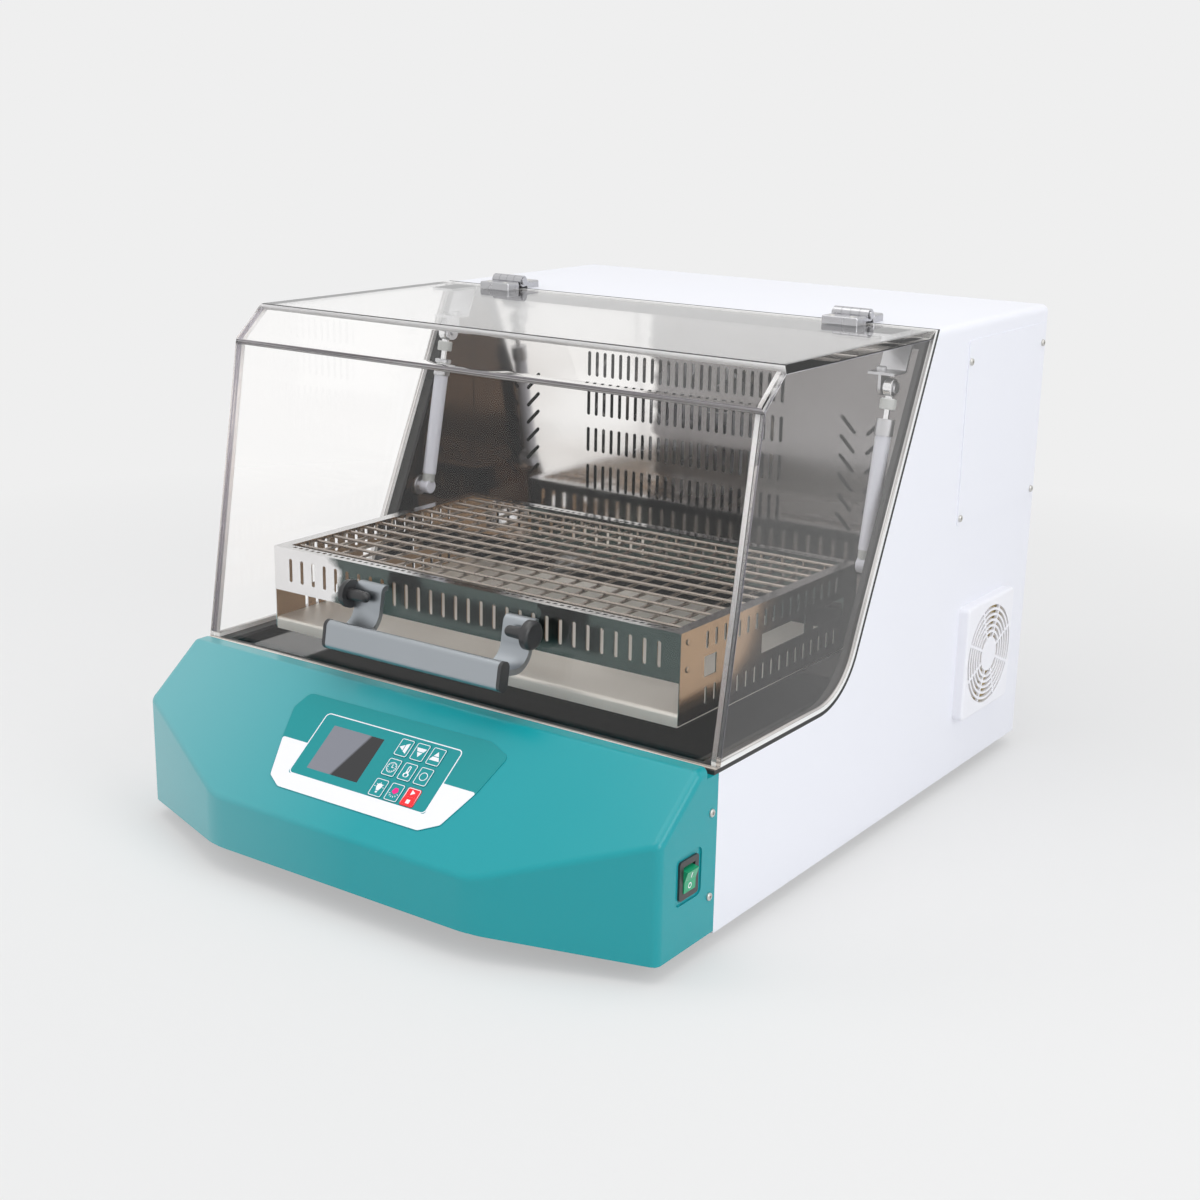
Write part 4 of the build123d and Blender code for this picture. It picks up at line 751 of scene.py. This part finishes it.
@dataclass(frozen=True)
class Row:
    """Copies of one piece along a line.

    Attributes:
        count: Number of copies.
        start: Place of the first copy.
        step: Way from one copy to the next.
        radius: Radius of the bar swept along a line of edges.
    """

    count: int
    start: Point
    step: Point
    radius: float = 0.0

    def build(self, name: str, piece: bpy.types.Mesh, finish: Finish) -> bpy.types.Object:
        """Repeat a piece.

        Args:
            name: Name of the new object.
            piece: Mesh of one copy; edges alone are swept into a round bar.
            finish: Finish of the copies.

        Returns:
            One object with a plain mesh.
        """
        source = bpy.data.objects.new(name, piece)
        bpy.context.scene.collection.objects.link(source)
        group = (RowKind.SWEPT if self.radius else RowKind.SOLID).group()
        modifier = source.modifiers.new("row", "NODES")
        modifier.node_group = group
        values = {"Count": self.count, "Start": [v * MM for v in self.start], "Step": [v * MM for v in self.step],
                  "Radius": self.radius * MM, "Material": finish.material()}
        for item in group.interface.items_tree:
            if item.in_out == "INPUT" and item.name in values:
                modifier[item.identifier] = values[item.name]
        mesh = frozen(source, name, Matrix())
        bpy.data.meshes.remove(piece)
        for face in mesh.polygons:
            face.use_smooth = True
        mesh.set_sharp_from_angle(angle=math.radians(35))
        return linked(name, mesh, finish)


def edge_line(name: str, points: Sequence[Point]) -> bpy.types.Mesh:
    """Mesh of edges alone, through points in millimetres."""
    mesh = bpy.data.meshes.new(name)
    mesh.from_pydata([tuple(v * MM for v in p) for p in points], [(i, i + 1) for i in range(len(points) - 1)], [])
    return mesh


# ---------------------------------------------------------------- lid

def aside(points: Sequence[Flat], distance: float) -> list[Flat]:
    """Open line moved sideways, to the left of its direction.

    Args:
        points: Corners of the line.
        distance: How far it moves.

    Returns:
        Corners of the moved line.
    """
    moved = []
    for index, point in enumerate(points):
        ends = [(points[b], points[a]) for a, b in ((index - 1, index), (index, index + 1))
                if a >= 0 and b < len(points)]
        normals = [(Vector(b) - Vector(a)).orthogonal().normalized() for b, a in ends]
        total = normals[0] + normals[-1]
        moved.append(tuple(Vector(point) + total * (distance / (1 + normals[0].dot(normals[-1])))))
    return moved


@dataclass
class LidGlass:
    """Glued joints and cut edges of the clear lid, which catch the light.

    Attributes:
        line: Outer (y, z) line of the bent sheet, from its foot to the rear of its top.
        sheet: Thickness of the sheet.
        half: Half the lid's width.
        film: Thickness of a glued joint.
        gap: Clear distance between a joint and the sheet's faces.
        sill: Height of the side sheets' lower edge.
        edge_top: Y of the opening's edge at the top, and its lean.
        offset: Square distance from the opening's edge to the side sheets.
        bend: Radius of the opening's lower corner.
    """

    line: tuple[Flat, ...] = ((-253.7, 164.8), (-202.9, 462.1), (-167.3, 493.0), (118.7, 493.0))
    sheet: float = 8.0
    half: float = 300.0
    film: float = 0.3
    gap: float = 0.06
    sill: float = 169.0
    edge_top: Flat = (127.5, 0.46)
    offset: float = 8.0
    bend: float = 75.0

    def ribbon(self, name: str, path: Sequence[Flat], side: int) -> bpy.types.Mesh:
        """Thin band inside one side sheet, along a (y, z) path."""
        closed = list(path) + aside(path, -self.film)[::-1]
        low, high = sorted((side * (self.half - self.sheet + 0.1), side * (self.half - 0.1)))
        return flat_mesh(name, [closed], low, high, sheet_plane())

    def rear_path(self, offset: float) -> list[Flat]:
        """Rear and lower edge of a side sheet, from the front to the top."""
        def edge_y(z: float) -> float:
            """Y of the moved edge at a height."""
            return self.edge_top[0] + self.edge_top[1] * (z - 493.0) - offset * math.hypot(1, self.edge_top[1])
        low = 161.0 + offset
        corner = rounded([(-244.0, low, 0), (edge_y(low), low, self.bend - offset), (edge_y(484.6), 484.6, 0)], 14)
        return corner

    def mitre(self, name: str, index: int, finish: Finish, drop: float = 0.0) -> bpy.types.Object:
        """Glued joint across the lid.

        Args:
            name: Name of the piece.
            index: Which corner of the line it is at.
            finish: Its finish.
            drop: How far its inner end stands below the inner corner.

        Returns:
            The piece.
        """
        outer = Vector(self.line[index])
        below = (Vector(self.line[index - 1]) - outer).normalized()
        inner = Vector(aside(self.line, -self.sheet)[index]) + below * drop
        run = (inner - outer).normalized()
        low, high = outer + run * 0.7, inner - run * self.gap
        across = Vector((-run.y, run.x)) * (self.film / 2)
        lines = [[tuple(low - across), tuple(high - across), tuple(high + across), tuple(low + across)]]
        mesh = flat_mesh(name, lines, -self.half + 0.15, self.half - 0.15, sheet_plane())
        return worn(linked(name, mesh, finish), "lid")

    def build(self) -> None:
        """Add the joints and cut edges."""
        front = aside(self.line, -self.sheet - self.gap)
        lean = (front[1][0] - front[0][0]) / (front[1][1] - front[0][1])
        foot = (front[0][0] + lean * (self.sill + 0.3 - front[0][1]), self.sill + 0.3)
        for side, word in ((-1, "left"), (1, "right")):
            glued = self.ribbon("glued", [foot, front[1], front[2], (front[3][0] - 0.5, front[3][1])], side)
            worn(linked(f"lid_side_joint_{word}", glued, Finish.EDGE), "lid")
            rear = self.ribbon("rear", self.rear_path(self.offset + 0.5), side)
            worn(linked(f"lid_side_rear_{word}", rear, Finish.REAR_EDGE), "lid")
        # The lower joint takes the painted-shade copy and the upper joint the painted-highlight copy.
        self.mitre("lid_joint_low", 1, Finish.MITRE, 2.5)
        self.mitre("lid_joint_high", 2, Finish.HIGH_MITRE)
        y = self.line[0][0]
        foot_line = [[(y + 0.3, 165.08), (y + 7.6, 165.08), (y + 7.6, 165.4), (y + 0.4, 165.4)]]
        mesh = flat_mesh("foot", foot_line, -self.half + 0.2, self.half - 0.2, sheet_plane())
        worn(linked("lid_foot_edge", mesh, Finish.FOOT_EDGE), "lid")
        LOG.info("lid joints laid")


@dataclass
class Hinges:
    """Screws of the two hinges.

    Attributes:
        x: Limits of the right-hand hinge.
        rows: Y of the screw rows on the lid's and on the cabinet's leaf.
        top: Height of the leaves' upper face.
    """

    x: Flat = (191.0, 230.0)
    rows: Flat = (99.5, 141.0)
    top: float = 500.5

    def build(self) -> None:
        """Put two sunk screws into every leaf."""
        ring = [(-1.2, 1.2), (0.18, 1.2), (0.3, 1.6), (0.3, 2.7), (0.0, 3.1), (-1.2, 3.1)]
        for y, body in zip(self.rows, ("lid", "cabinet")):
            for side, word in ((-1, "left"), (1, "right")):
                step = 22.0
                first = side * (self.x[0] + self.x[1]) / 2 - step / 2
                piece = turned("screw", ring, (0, 0, 0), (0, 0, 1), 28)
                row = Row(2, (first, y, self.top), (step, 0, 0)).build(f"hinge_screws_{body}_{word}", piece, Finish.SCREW)
                worn(row, body)
        LOG.info("hinge screws set")


@dataclass
class Struts:
    """Plastic cups and metal sleeves over the ends of the gas struts.

    Attributes:
        x: Distance of the struts from the middle.
        low, high: (y, z) of the lower and the upper pivot.
        tube_end: Upper end of the tube, from the lower pivot.
        cup_drop: From the upper pivot down to the cup.
    """

    x: float = 268.5
    low: Flat = (51.0, 274.0)
    high: Flat = (85.0, 440.0)
    tube_end: float = 139.5
    cup_drop: float = 10.5

    def build(self) -> None:
        """Dress both struts."""
        run = Vector(self.high) - Vector(self.low)
        length = run.length
        end, top = self.tube_end, length - self.cup_drop
        sleeve = [(end - 16, 7.4), (end - 16, 8.7), (end - 15.4, 8.9), (end - 0.6, 8.9), (end, 8.4), (end, 3.4),
                  (end - 0.4, 3.4), (end - 0.4, 7.4)]
        ribs = [(5.0 + i * 1.6 + d, r) for i in range(6) for d, r in ((0.0, 6.2), (0.2, 6.9), (1.0, 6.9), (1.2, 6.2))]
        low_cup = [(4.6, 4.4), (4.6, 6.2)] + ribs + [(15.6, 6.6), (16.2, 6.0), (16.2, 4.4)]
        high_cup = [(top - 10.3, 3.3), (top - 10.3, 6.9), (top - 9.6, 7.8), (top - 0.8, 7.8), (top + 0.3, 6.8),
                    (top + 0.3, 3.3)]
        for side, word in ((-1, "left"), (1, "right")):
            start, axis = (side * self.x, *self.low), (0, *(run / length))
            for name, profile, body, finish, slot in (
                    ("strut_sleeve", sleeve, "cylinder", Finish.SATIN, "hinge_metal"),
                    ("strut_low_cup", low_cup, "cylinder", Finish.GREY_FITTING, "strut_grey"),
                    ("strut_high_cup", high_cup, "rod", Finish.GREY_FITTING, "strut_grey")):
                piece = linked(f"{name}_{word}", turned(name, profile, start, axis), finish)
                worn(piece, f"strut_{body}_{word}")
        LOG.info("struts dressed")


# ---------------------------------------------------------------- tray and cabinet

@dataclass
class TrayWires:
    """Spring wires of the basket, long ones over short ones, hooked at their ends.

    Attributes:
        half: Half the basket's width.
        front, back: Its limits in Y.
        top: Height of the upper wires' middle.
        radius: Radius of a wire.
        pitch: Distance between wires.
    """

    half: float = 240.4
    front: float = -216.0
    back: float = 95.0
    top: float = 260.2
    radius: float = 1.6
    pitch: float = 24.3

    def build(self) -> None:
        """Lay both layers in place of the plain wires."""
        reach = self.half - 4.4
        hook = [(0.0, -6.5), (0.3, -3.6), (1.5, -1.5), (3.6, -0.4), (6.5, 0.0)]
        line = [(-reach + u, 0.0, w) for u, w in hook] + [(reach - u, 0.0, w) for u, w in hook[::-1]]
        start = (0.0, self.front + self.pitch, self.top)
        long_row = Row(12, start, (0.0, self.pitch, 0.0), self.radius)
        long = long_row.build("tray_wires_long", edge_line("wire", line), Finish.WIRE)
        low = self.top - 2 * self.radius - 0.05
        depth = [(self.front + 3.2 + u, w) for u, w in hook] + [(self.back - 3.2 - u, w) for u, w in hook[::-1]]
        line = [(0.0, y, w) for y, w in depth]
        start = (-8.5 * self.pitch, 0.0, low)
        short_row = Row(18, start, (self.pitch, 0.0, 0.0), self.radius)
        short = short_row.build("tray_wires_short", edge_line("wire", line), Finish.WIRE)
        for piece in (long, short):
            worn(piece, "tray")
        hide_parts("tray_wires")
        LOG.info("tray strung")


@dataclass
class RearScrews:
    """Pan-head screws along the edges of the rear panel.

    Attributes:
        face: Y of the panel's outer face.
        rows: Heights of the two rows.
        half: X of the outermost screws.
        count: Screws in a row.
    """

    face: float = 390.5
    rows: Flat = (30.0, 477.0)
    half: float = 280.0
    count: int = 5

    def build(self) -> None:
        """Set both rows."""
        ring = [(-1.0, 0.9), (1.0, 0.9), (1.9, 1.6), (1.9, 2.4), (1.2, 3.4), (0.0, 3.7), (-1.0, 3.7)]
        step = 2 * self.half / (self.count - 1)
        for z, word in zip(self.rows, ("low", "high")):
            piece = turned("screw", ring, (0, 0, 0), (0, 1, 0), 28)
            row = Row(self.count, (-self.half, self.face, z), (step, 0, 0))
            worn(row.build(f"rear_screws_{word}", piece, Finish.SCREW), "cabinet")
        LOG.info("rear screws set")


@dataclass
class SwitchMarks:
    """Bar and ring printed on the power rocker.

    Attributes:
        middle: (y, z) of the rocker.
        axis_x: X of its pivot.
        ridge_x: X of its ridge before it is turned.
        half: Half its height.
        tilt: Turn of the rocker in degrees.
    """

    middle: Flat = (-289.5, 81.5)
    axis_x: float = 293.0
    ridge_x: float = 302.0
    half: float = 9.9
    tilt: float = 10.0

    def face_plane(self, upper: bool) -> Matrix:
        """Matrix of one half of the rocker's face: along Y, up it and out of it."""
        y, z = self.middle
        sink = self.half * math.sin(math.radians(self.tilt))
        turn = Matrix.Rotation(math.radians(self.tilt), 3, "Y")
        way = 1 if upper else -1
        corners = [Vector((self.ridge_x - sink * 0.2 - self.axis_x, 0, 0)),
                   Vector((self.ridge_x + sink * 0.6 - self.axis_x, 0, way * self.half))]
        ridge, end = (turn @ corner for corner in corners)
        up = (end - ridge).normalized() * way
        out = Vector((0, 1, 0)).cross(up)
        place = Matrix(((0, 1, 0), tuple(up), tuple(out))).transposed().to_4x4()
        place.translation = (Vector((self.axis_x, y, z)) + (ridge + end) / 2) * MM
        return place

    def build(self) -> None:
        """Print the marks."""
        bar = flat_mesh("bar", [box_line((-0.6, -2.6), (0.6, 2.6), 0.2)], -0.02, 0.06, self.face_plane(True))
        ring = flat_mesh("ring", [ring_line((0, 0), 2.6), ring_line((0, 0), 1.7)], -0.02, 0.06, self.face_plane(False))
        worn(joined("rocker_marks", [bar, ring], Finish.PRINT), "power_rocker")
        LOG.info("switch marked")


# ---------------------------------------------------------------- control panel

class Sign(Enum):
    """Generic signs of the keys."""

    LEFT = "left"
    DOWN = "down"
    UP = "up"
    CLOCK = "timer"
    THERMOMETER = "temperature"
    RING = "speed"
    BULB = "light"
    RAYS = "lamp"
    START_STOP = "start_stop"


def arrow_lines(turn: float) -> list[list[Flat]]:
    """Triangle that points along a turn, cut across by a thin gap."""
    parts = ([(5.2, 0.0), (0.4, 3.0), (0.4, -3.0)], [(-0.4, -3.5), (-0.4, 3.5), (-4.2, 5.6), (-4.2, -5.6)])
    c, s = math.cos(turn), math.sin(turn)
    return [[(u * c - v * s, u * s + v * c) for u, v in part] for part in parts]


def ray_lines(radius: float, length: float, turns: Iterable[float]) -> list[list[Flat]]:
    """Short bars that point outwards round a centre."""
    lines = []
    for turn in turns:
        c, s = math.cos(turn), math.sin(turn)
        bar = [(radius, -0.3), (radius + length, -0.3), (radius + length, 0.3), (radius, 0.3)]
        lines.append([(u * c - v * s, u * s + v * c) for u, v in bar])
    return lines


def sign_lines(sign: Sign) -> list[list[Flat]]:
    """Closed lines of a key's sign about the key's centre.

    Args:
        sign: Which sign.

    Returns:
        The lines, in millimetres.
    """
    if sign in (Sign.LEFT, Sign.DOWN, Sign.UP):
        return arrow_lines({Sign.LEFT: math.pi, Sign.DOWN: -math.pi / 2, Sign.UP: math.pi / 2}[sign])
    if sign is Sign.CLOCK:
        hands = [[(-0.35, 3.0), (-0.35, -0.35), (2.2, -0.35), (2.2, 0.35), (0.35, 0.35), (0.35, 3.0)]]
        ticks = ray_lines(3.6, 0.9, (math.tau * i / 12 for i in range(12)))
        return [ring_line((0, 0), 5.4), ring_line((0, 0), 4.8)] + hands + ticks
    if sign is Sign.THERMOMETER:
        outer = rounded([(-1.6, -1.0, 0.5), (-1.6, 6.2, 1.5), (1.6, 6.2, 1.5), (1.6, -1.0, 0.5), (3.2, -2.4, 1.0),
                         (3.2, -5.6, 2.6), (-3.2, -5.6, 2.6), (-3.2, -2.4, 1.0)])
        return [outer, ring_line((0, -3.4), 1.7), box_line((-0.7, 0.6), (0.7, 5.2), 0.6)]
    if sign is Sign.RING:
        return [ring_line((0, 0), 4.3), ring_line((0, 0), 3.6)]
    if sign is Sign.BULB:
        glass = rounded([(-1.3, -3.0, 0.4), (1.3, -3.0, 0.4), (3.1, 1.0, 1.0), (2.6, 4.2, 2.0), (-2.6, 4.2, 2.0),
                         (-3.1, 1.0, 1.0)])
        cap = box_line((-1.1, -5.4), (1.1, -3.6), 0.5)
        return [glass, cap] + ray_lines(4.1, 1.3, (math.radians(a) + math.pi / 2 for a in (-80, -45, 0, 45, 80)))
    if sign is Sign.RAYS:
        return ray_lines(3.9, 1.6, (math.radians(a) - math.pi / 2 for a in (-70, -42, -14, 14, 42, 70)))
    start = [(-1.8, 2.0), (2.6, 4.6), (-1.8, 7.2)]
    return [start, box_line((-2.0, -6.6), (2.0, -2.6), 0.2)]


@dataclass
class ControlPanel:
    """Prints on the film and on the keys on the slope of the front cover.

    Attributes:
        shoulder: Y and Z of the lower edge of the slope.
        ratio: Rise of the slope over its run.
        film: Thickness of the film.
        key_proud: How far a key stands above the film.
        columns, rows: Limits of the keys along and up the slope.
        field: Limits of the outlined field.
        screen: Limits of the display window; not used.
        ink: Thickness of a print.
        line: Width of the outlined field's line.
    """

    shoulder: Flat = (-334.3, 124.8)
    ratio: float = 0.774
    film: float = 0.6
    key_proud: float = 0.5
    columns: tuple[Flat, ...] = ((8.0, 23.0), (26.5, 41.5), (45.0, 60.0))
    rows: tuple[Flat, ...] = ((-32.5, -14.0), (-10.25, 8.25), (11.5, 30.0))
    field: tuple[Flat, Flat] = ((-87.0, -34.7), (75.5, 34.2))
    screen: tuple[Flat, Flat] = ((-70.6, -24.8), (-9.8, 23.2))
    ink: float = 0.06
    line: float = 1.1

    def plane(self) -> Matrix:
        """Matrix of the slope: along it, up it and out of it."""
        angle = math.atan(self.ratio)
        place = Matrix.Rotation(angle, 4, "X")
        place.translation = Vector((0, *self.shoulder)) * MM
        return place

    def on_film(self, name: str, lines: Iterable[Sequence[Flat]], lift: float = 0.0) -> bpy.types.Mesh:
        """Print on the film."""
        low = self.film + lift - 0.01
        return flat_mesh(name, lines, low, low + self.ink, self.plane())

    def print_film(self) -> None:
        """White band and outlined field of the film."""
        low, high = self.field
        band = rounded([(-118.0, -1.4, 2.0), (-103.6, -41.6, 5.0), (-88.0, -50.5, 8.0), (78.2, -50.5, 8.0),
                        (96.6, -39.7, 5.0), (111.8, -1.4, 2.0), (high[0], -1.4, 0), (high[0], low[1], 3.0),
                        (low[0], low[1], 3.0), (low[0], -1.4, 0)])
        inner = ((low[0] + self.line, low[1] + self.line), (high[0] - self.line, high[1] - self.line))
        frame_line = [box_line(low, high, 5.0), box_line(*inner, 4.0)]
        white = joined("film_print", [self.on_film("band", [band]), self.on_film("field", frame_line, 0.02)],
                       Finish.PRINT)
        worn(white, "cabinet")

    def print_key(self, sign: Sign, column: int, row: int) -> None:
        """Outline and sign on one key.

        Args:
            sign: The key's sign.
            column, row: Its place in the block of keys.
        """
        u, s = self.columns[column], self.rows[row]
        centre = Vector(((u[0] + u[1]) / 2, (s[0] + s[1]) / 2))
        top = self.film + self.key_proud - 0.01
        edge = [box_line((u[0] + 0.35, s[0] + 0.35), (u[1] - 0.35, s[1] - 0.35), 1.8),
                box_line((u[0] + 1.0, s[0] + 1.0), (u[1] - 1.0, s[1] - 1.0), 1.2)]
        if sign is Sign.START_STOP:
            edge.append(box_line((u[0] + 1.0, centre.y - 0.35), (u[1] - 1.0, centre.y + 0.35), 0.0))
        lines = [[(a + centre.x, b + centre.y) for a, b in line] for line in sign_lines(sign)]
        meshes = [flat_mesh(f"{sign.value}_{i}", part, top, top + self.ink, self.plane())
                  for i, part in enumerate((edge, lines))]
        print_ = joined(f"key_print_{sign.value}", meshes, Finish.PRINT)
        worn(print_, f"key_{sign.value}")
        if sign is Sign.RAYS:
            head = [[(a + centre.x, b + centre.y) for a, b in
                     rounded([(-3.4, 0.2, 1.0), (0.4, -2.0, 0.8), (3.6, 0.8, 1.2), (2.4, 4.6, 1.5), (-1.8, 4.6, 1.5)])]]
            lamp = linked("key_print_lamp_head", flat_mesh("lamp_head", head, top, top + self.ink, self.plane()),
                          Finish.PINK_PRINT)
            worn(lamp, "key_lamp")

    def build(self) -> None:
        """Print the film and every key."""
        self.print_film()
        signs = ((Sign.BULB, Sign.RAYS, Sign.START_STOP), (Sign.CLOCK, Sign.THERMOMETER, Sign.RING),
                 (Sign.LEFT, Sign.DOWN, Sign.UP))
        for row, names in enumerate(signs):
            for column, sign in enumerate(names):
                self.print_key(sign, column, row)
        LOG.info("control panel printed")


# ---------------------------------------------------------------- studio

@dataclass
class Studio:
    """Pale floor, soft light and the camera.

    Attributes:
        eye: Camera's place.
        azimuth, elevation, roll: Camera's angles in degrees.
        lens: Focal length for a 36 mm sensor.
        backdrop: Linear grey of floor and background.
        fill: Strength of the light from all round.
    """

    eye: Point = (1030.5, -1470.1, 717.2)
    azimuth: float = 34.956
    elevation: float = 16.032
    roll: float = 1.071
    lens: float = 54.68
    backdrop: Color = seen(239, 239, 239)
    fill: float = 0.55

    def camera(self) -> None:
        """Camera at the photograph's place."""
        a, e, r = (math.radians(v) for v in (self.azimuth, self.elevation, self.roll))
        back = Vector((math.sin(a) * math.cos(e), -math.cos(a) * math.cos(e), math.sin(e)))
        right = Vector((math.cos(a), math.sin(a), 0))
        up = back.cross(right)
        x_axis, y_axis = right * math.cos(r) + up * math.sin(r), up * math.cos(r) - right * math.sin(r)
        data = bpy.data.cameras.new("camera")
        data.lens, data.sensor_width = self.lens, 36.0
        camera = bpy.data.objects.new("camera", data)
        bpy.context.scene.collection.objects.link(camera)
        place = Matrix((x_axis, y_axis, back)).transposed().to_4x4()
        place.translation = Vector(self.eye) * MM
        camera.matrix_world = place
        bpy.context.scene.camera = camera

    def world(self) -> None:
        """Even light from all round, shown as the backdrop's grey where it is seen."""
        world = bpy.data.worlds.new("studio")
        bpy.context.scene.world = world
        world.use_nodes = True
        nodes, links = world.node_tree.nodes, world.node_tree.links
        light = nodes["Background"]
        light.inputs["Color"].default_value = (0.96, 0.975, 1.0, 1.0)
        light.inputs["Strength"].default_value = self.fill
        shown = nodes.new("ShaderNodeBackground")
        path, tint = nodes.new("ShaderNodeLightPath"), nodes.new("ShaderNodeMix")
        tint.data_type = "RGBA"
        links.new(path.outputs["Is Transmission Ray"], tint.inputs[0])
        tint.inputs[6].default_value, tint.inputs[7].default_value = (*self.backdrop, 1.0), (*CLEAN, 1.0)
        links.new(tint.outputs[2], shown.inputs["Color"])
        seen_by = path.outputs["Is Camera Ray"]
        for ray in ("Is Transmission Ray", "Is Glossy Ray"):
            either = nodes.new("ShaderNodeMath")
            either.operation = "MAXIMUM"
            links.new(seen_by, either.inputs[0])
            links.new(path.outputs[ray], either.inputs[1])
            seen_by = either.outputs["Value"]
        pick = nodes.new("ShaderNodeMixShader")
        links.new(seen_by, pick.inputs["Fac"])
        links.new(light.outputs["Background"], pick.inputs[1])
        links.new(shown.outputs["Background"], pick.inputs[2])
        links.new(pick.outputs["Shader"], nodes["World Output"].inputs["Surface"])

    def floor(self) -> None:
        """Pale floor that fades into the background away from the object."""
        shade = Shade("studio_floor", mixed(self.backdrop, BLACK, 0.06), 0.9, Specular_IOR_Level=0.1)
        path = shade.node("ShaderNodeLightPath")
        source = shade.node("ShaderNodeTexCoord")
        reach = shade.node("ShaderNodeVectorMath", operation="LENGTH")
        shade.join(source.outputs["Object"], reach.inputs[0])
        fade = shade.span(reach.outputs["Value"], 0.45, 1.0, 0.5, 1.7)
        glow = shade.node("ShaderNodeEmission")
        shade.join(shade.blend(path.outputs["Is Transmission Ray"], self.backdrop, CLEAN), glow.inputs["Color"])
        seen_by = path.outputs["Is Camera Ray"]
        for ray in ("Is Transmission Ray", "Is Glossy Ray"):
            either = shade.node("ShaderNodeMath", operation="MAXIMUM")
            shade.join(seen_by, either.inputs[0])
            shade.join(path.outputs[ray], either.inputs[1])
            seen_by = either.outputs["Value"]
        share = shade.node("ShaderNodeMath", operation="MULTIPLY")
        shade.join(fade, share.inputs[0])
        shade.join(seen_by, share.inputs[1])
        pick = shade.node("ShaderNodeMixShader")
        shade.join(share.outputs["Value"], pick.inputs["Fac"])
        shade.join(shade.shader.outputs["BSDF"], pick.inputs[1])
        shade.join(glow.outputs["Emission"], pick.inputs[2])
        shade.join(pick.outputs["Shader"], shade.output.inputs["Surface"])
        mesh = bpy.data.meshes.new("floor")
        reach_m = 12.0
        corners = [(-reach_m, -reach_m, 0), (reach_m, -reach_m, 0), (reach_m, reach_m, 0), (-reach_m, reach_m, 0)]
        mesh.from_pydata(corners, [], [(0, 1, 2, 3)])
        mesh.materials.append(shade.material)
        floor = bpy.data.objects.new("floor", mesh)
        bpy.context.scene.collection.objects.link(floor)

    def lamp(self, name: str, place: Point, aim: Point, size: Flat, power: float, color: Color,
             mirrored: bool = True) -> None:
        """Soft rectangular lamp.

        Args:
            name: Name of the lamp.
            place, aim: Where it hangs and what it faces, in metres.
            size: Width and height in metres.
            power: Watts.
            color: Linear colour.
            mirrored: Whether glossy faces show the lamp.
        """
        data = bpy.data.lights.new(name, "AREA")
        data.shape, data.size, data.size_y = "RECTANGLE", *size
        data.energy, data.color = power, color
        lamp = bpy.data.objects.new(name, data)
        bpy.context.scene.collection.objects.link(lamp)
        lamp.location = place
        lamp.rotation_euler = (Vector(aim) - Vector(place)).to_track_quat("-Z", "Y").to_euler()
        lamp.visible_camera = lamp.visible_transmission = False
        lamp.visible_glossy = mirrored

    def build(self) -> None:
        """Set up camera, world, floor and lamps."""
        bpy.context.scene.view_settings.view_transform = "Standard"
        self.camera()
        self.world()
        self.floor()
        self.lamp("top_softbox", (0.2, -0.3, 2.4), (0.0, 0.0, 0.2), (2.6, 2.2), 25.0, (1.0, 0.99, 0.97))
        self.lamp("left_softbox", (-2.2, -1.6, 1.2), (0.0, -0.1, 0.25), (1.6, 1.8), 20.0, CLEAN, False)
        self.lamp("right_softbox", (2.4, -0.6, 1.3), (0.2, 0.1, 0.25), (1.4, 1.8), 20.0, (0.98, 0.99, 1.0))
        LOG.info("studio set up")


def main() -> None:
    """Build the looks in order."""
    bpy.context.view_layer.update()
    Studio().build()
    dress_nodes()
    for assembly in (ControlPanel(), SwitchMarks(), LidGlass(), Hinges(), Struts(), TrayWires(), RearScrews()):
        assembly.build()


if __name__ == "__main__":
    logging.basicConfig(level=logging.INFO, format="%(name)s: %(message)s")
    main()
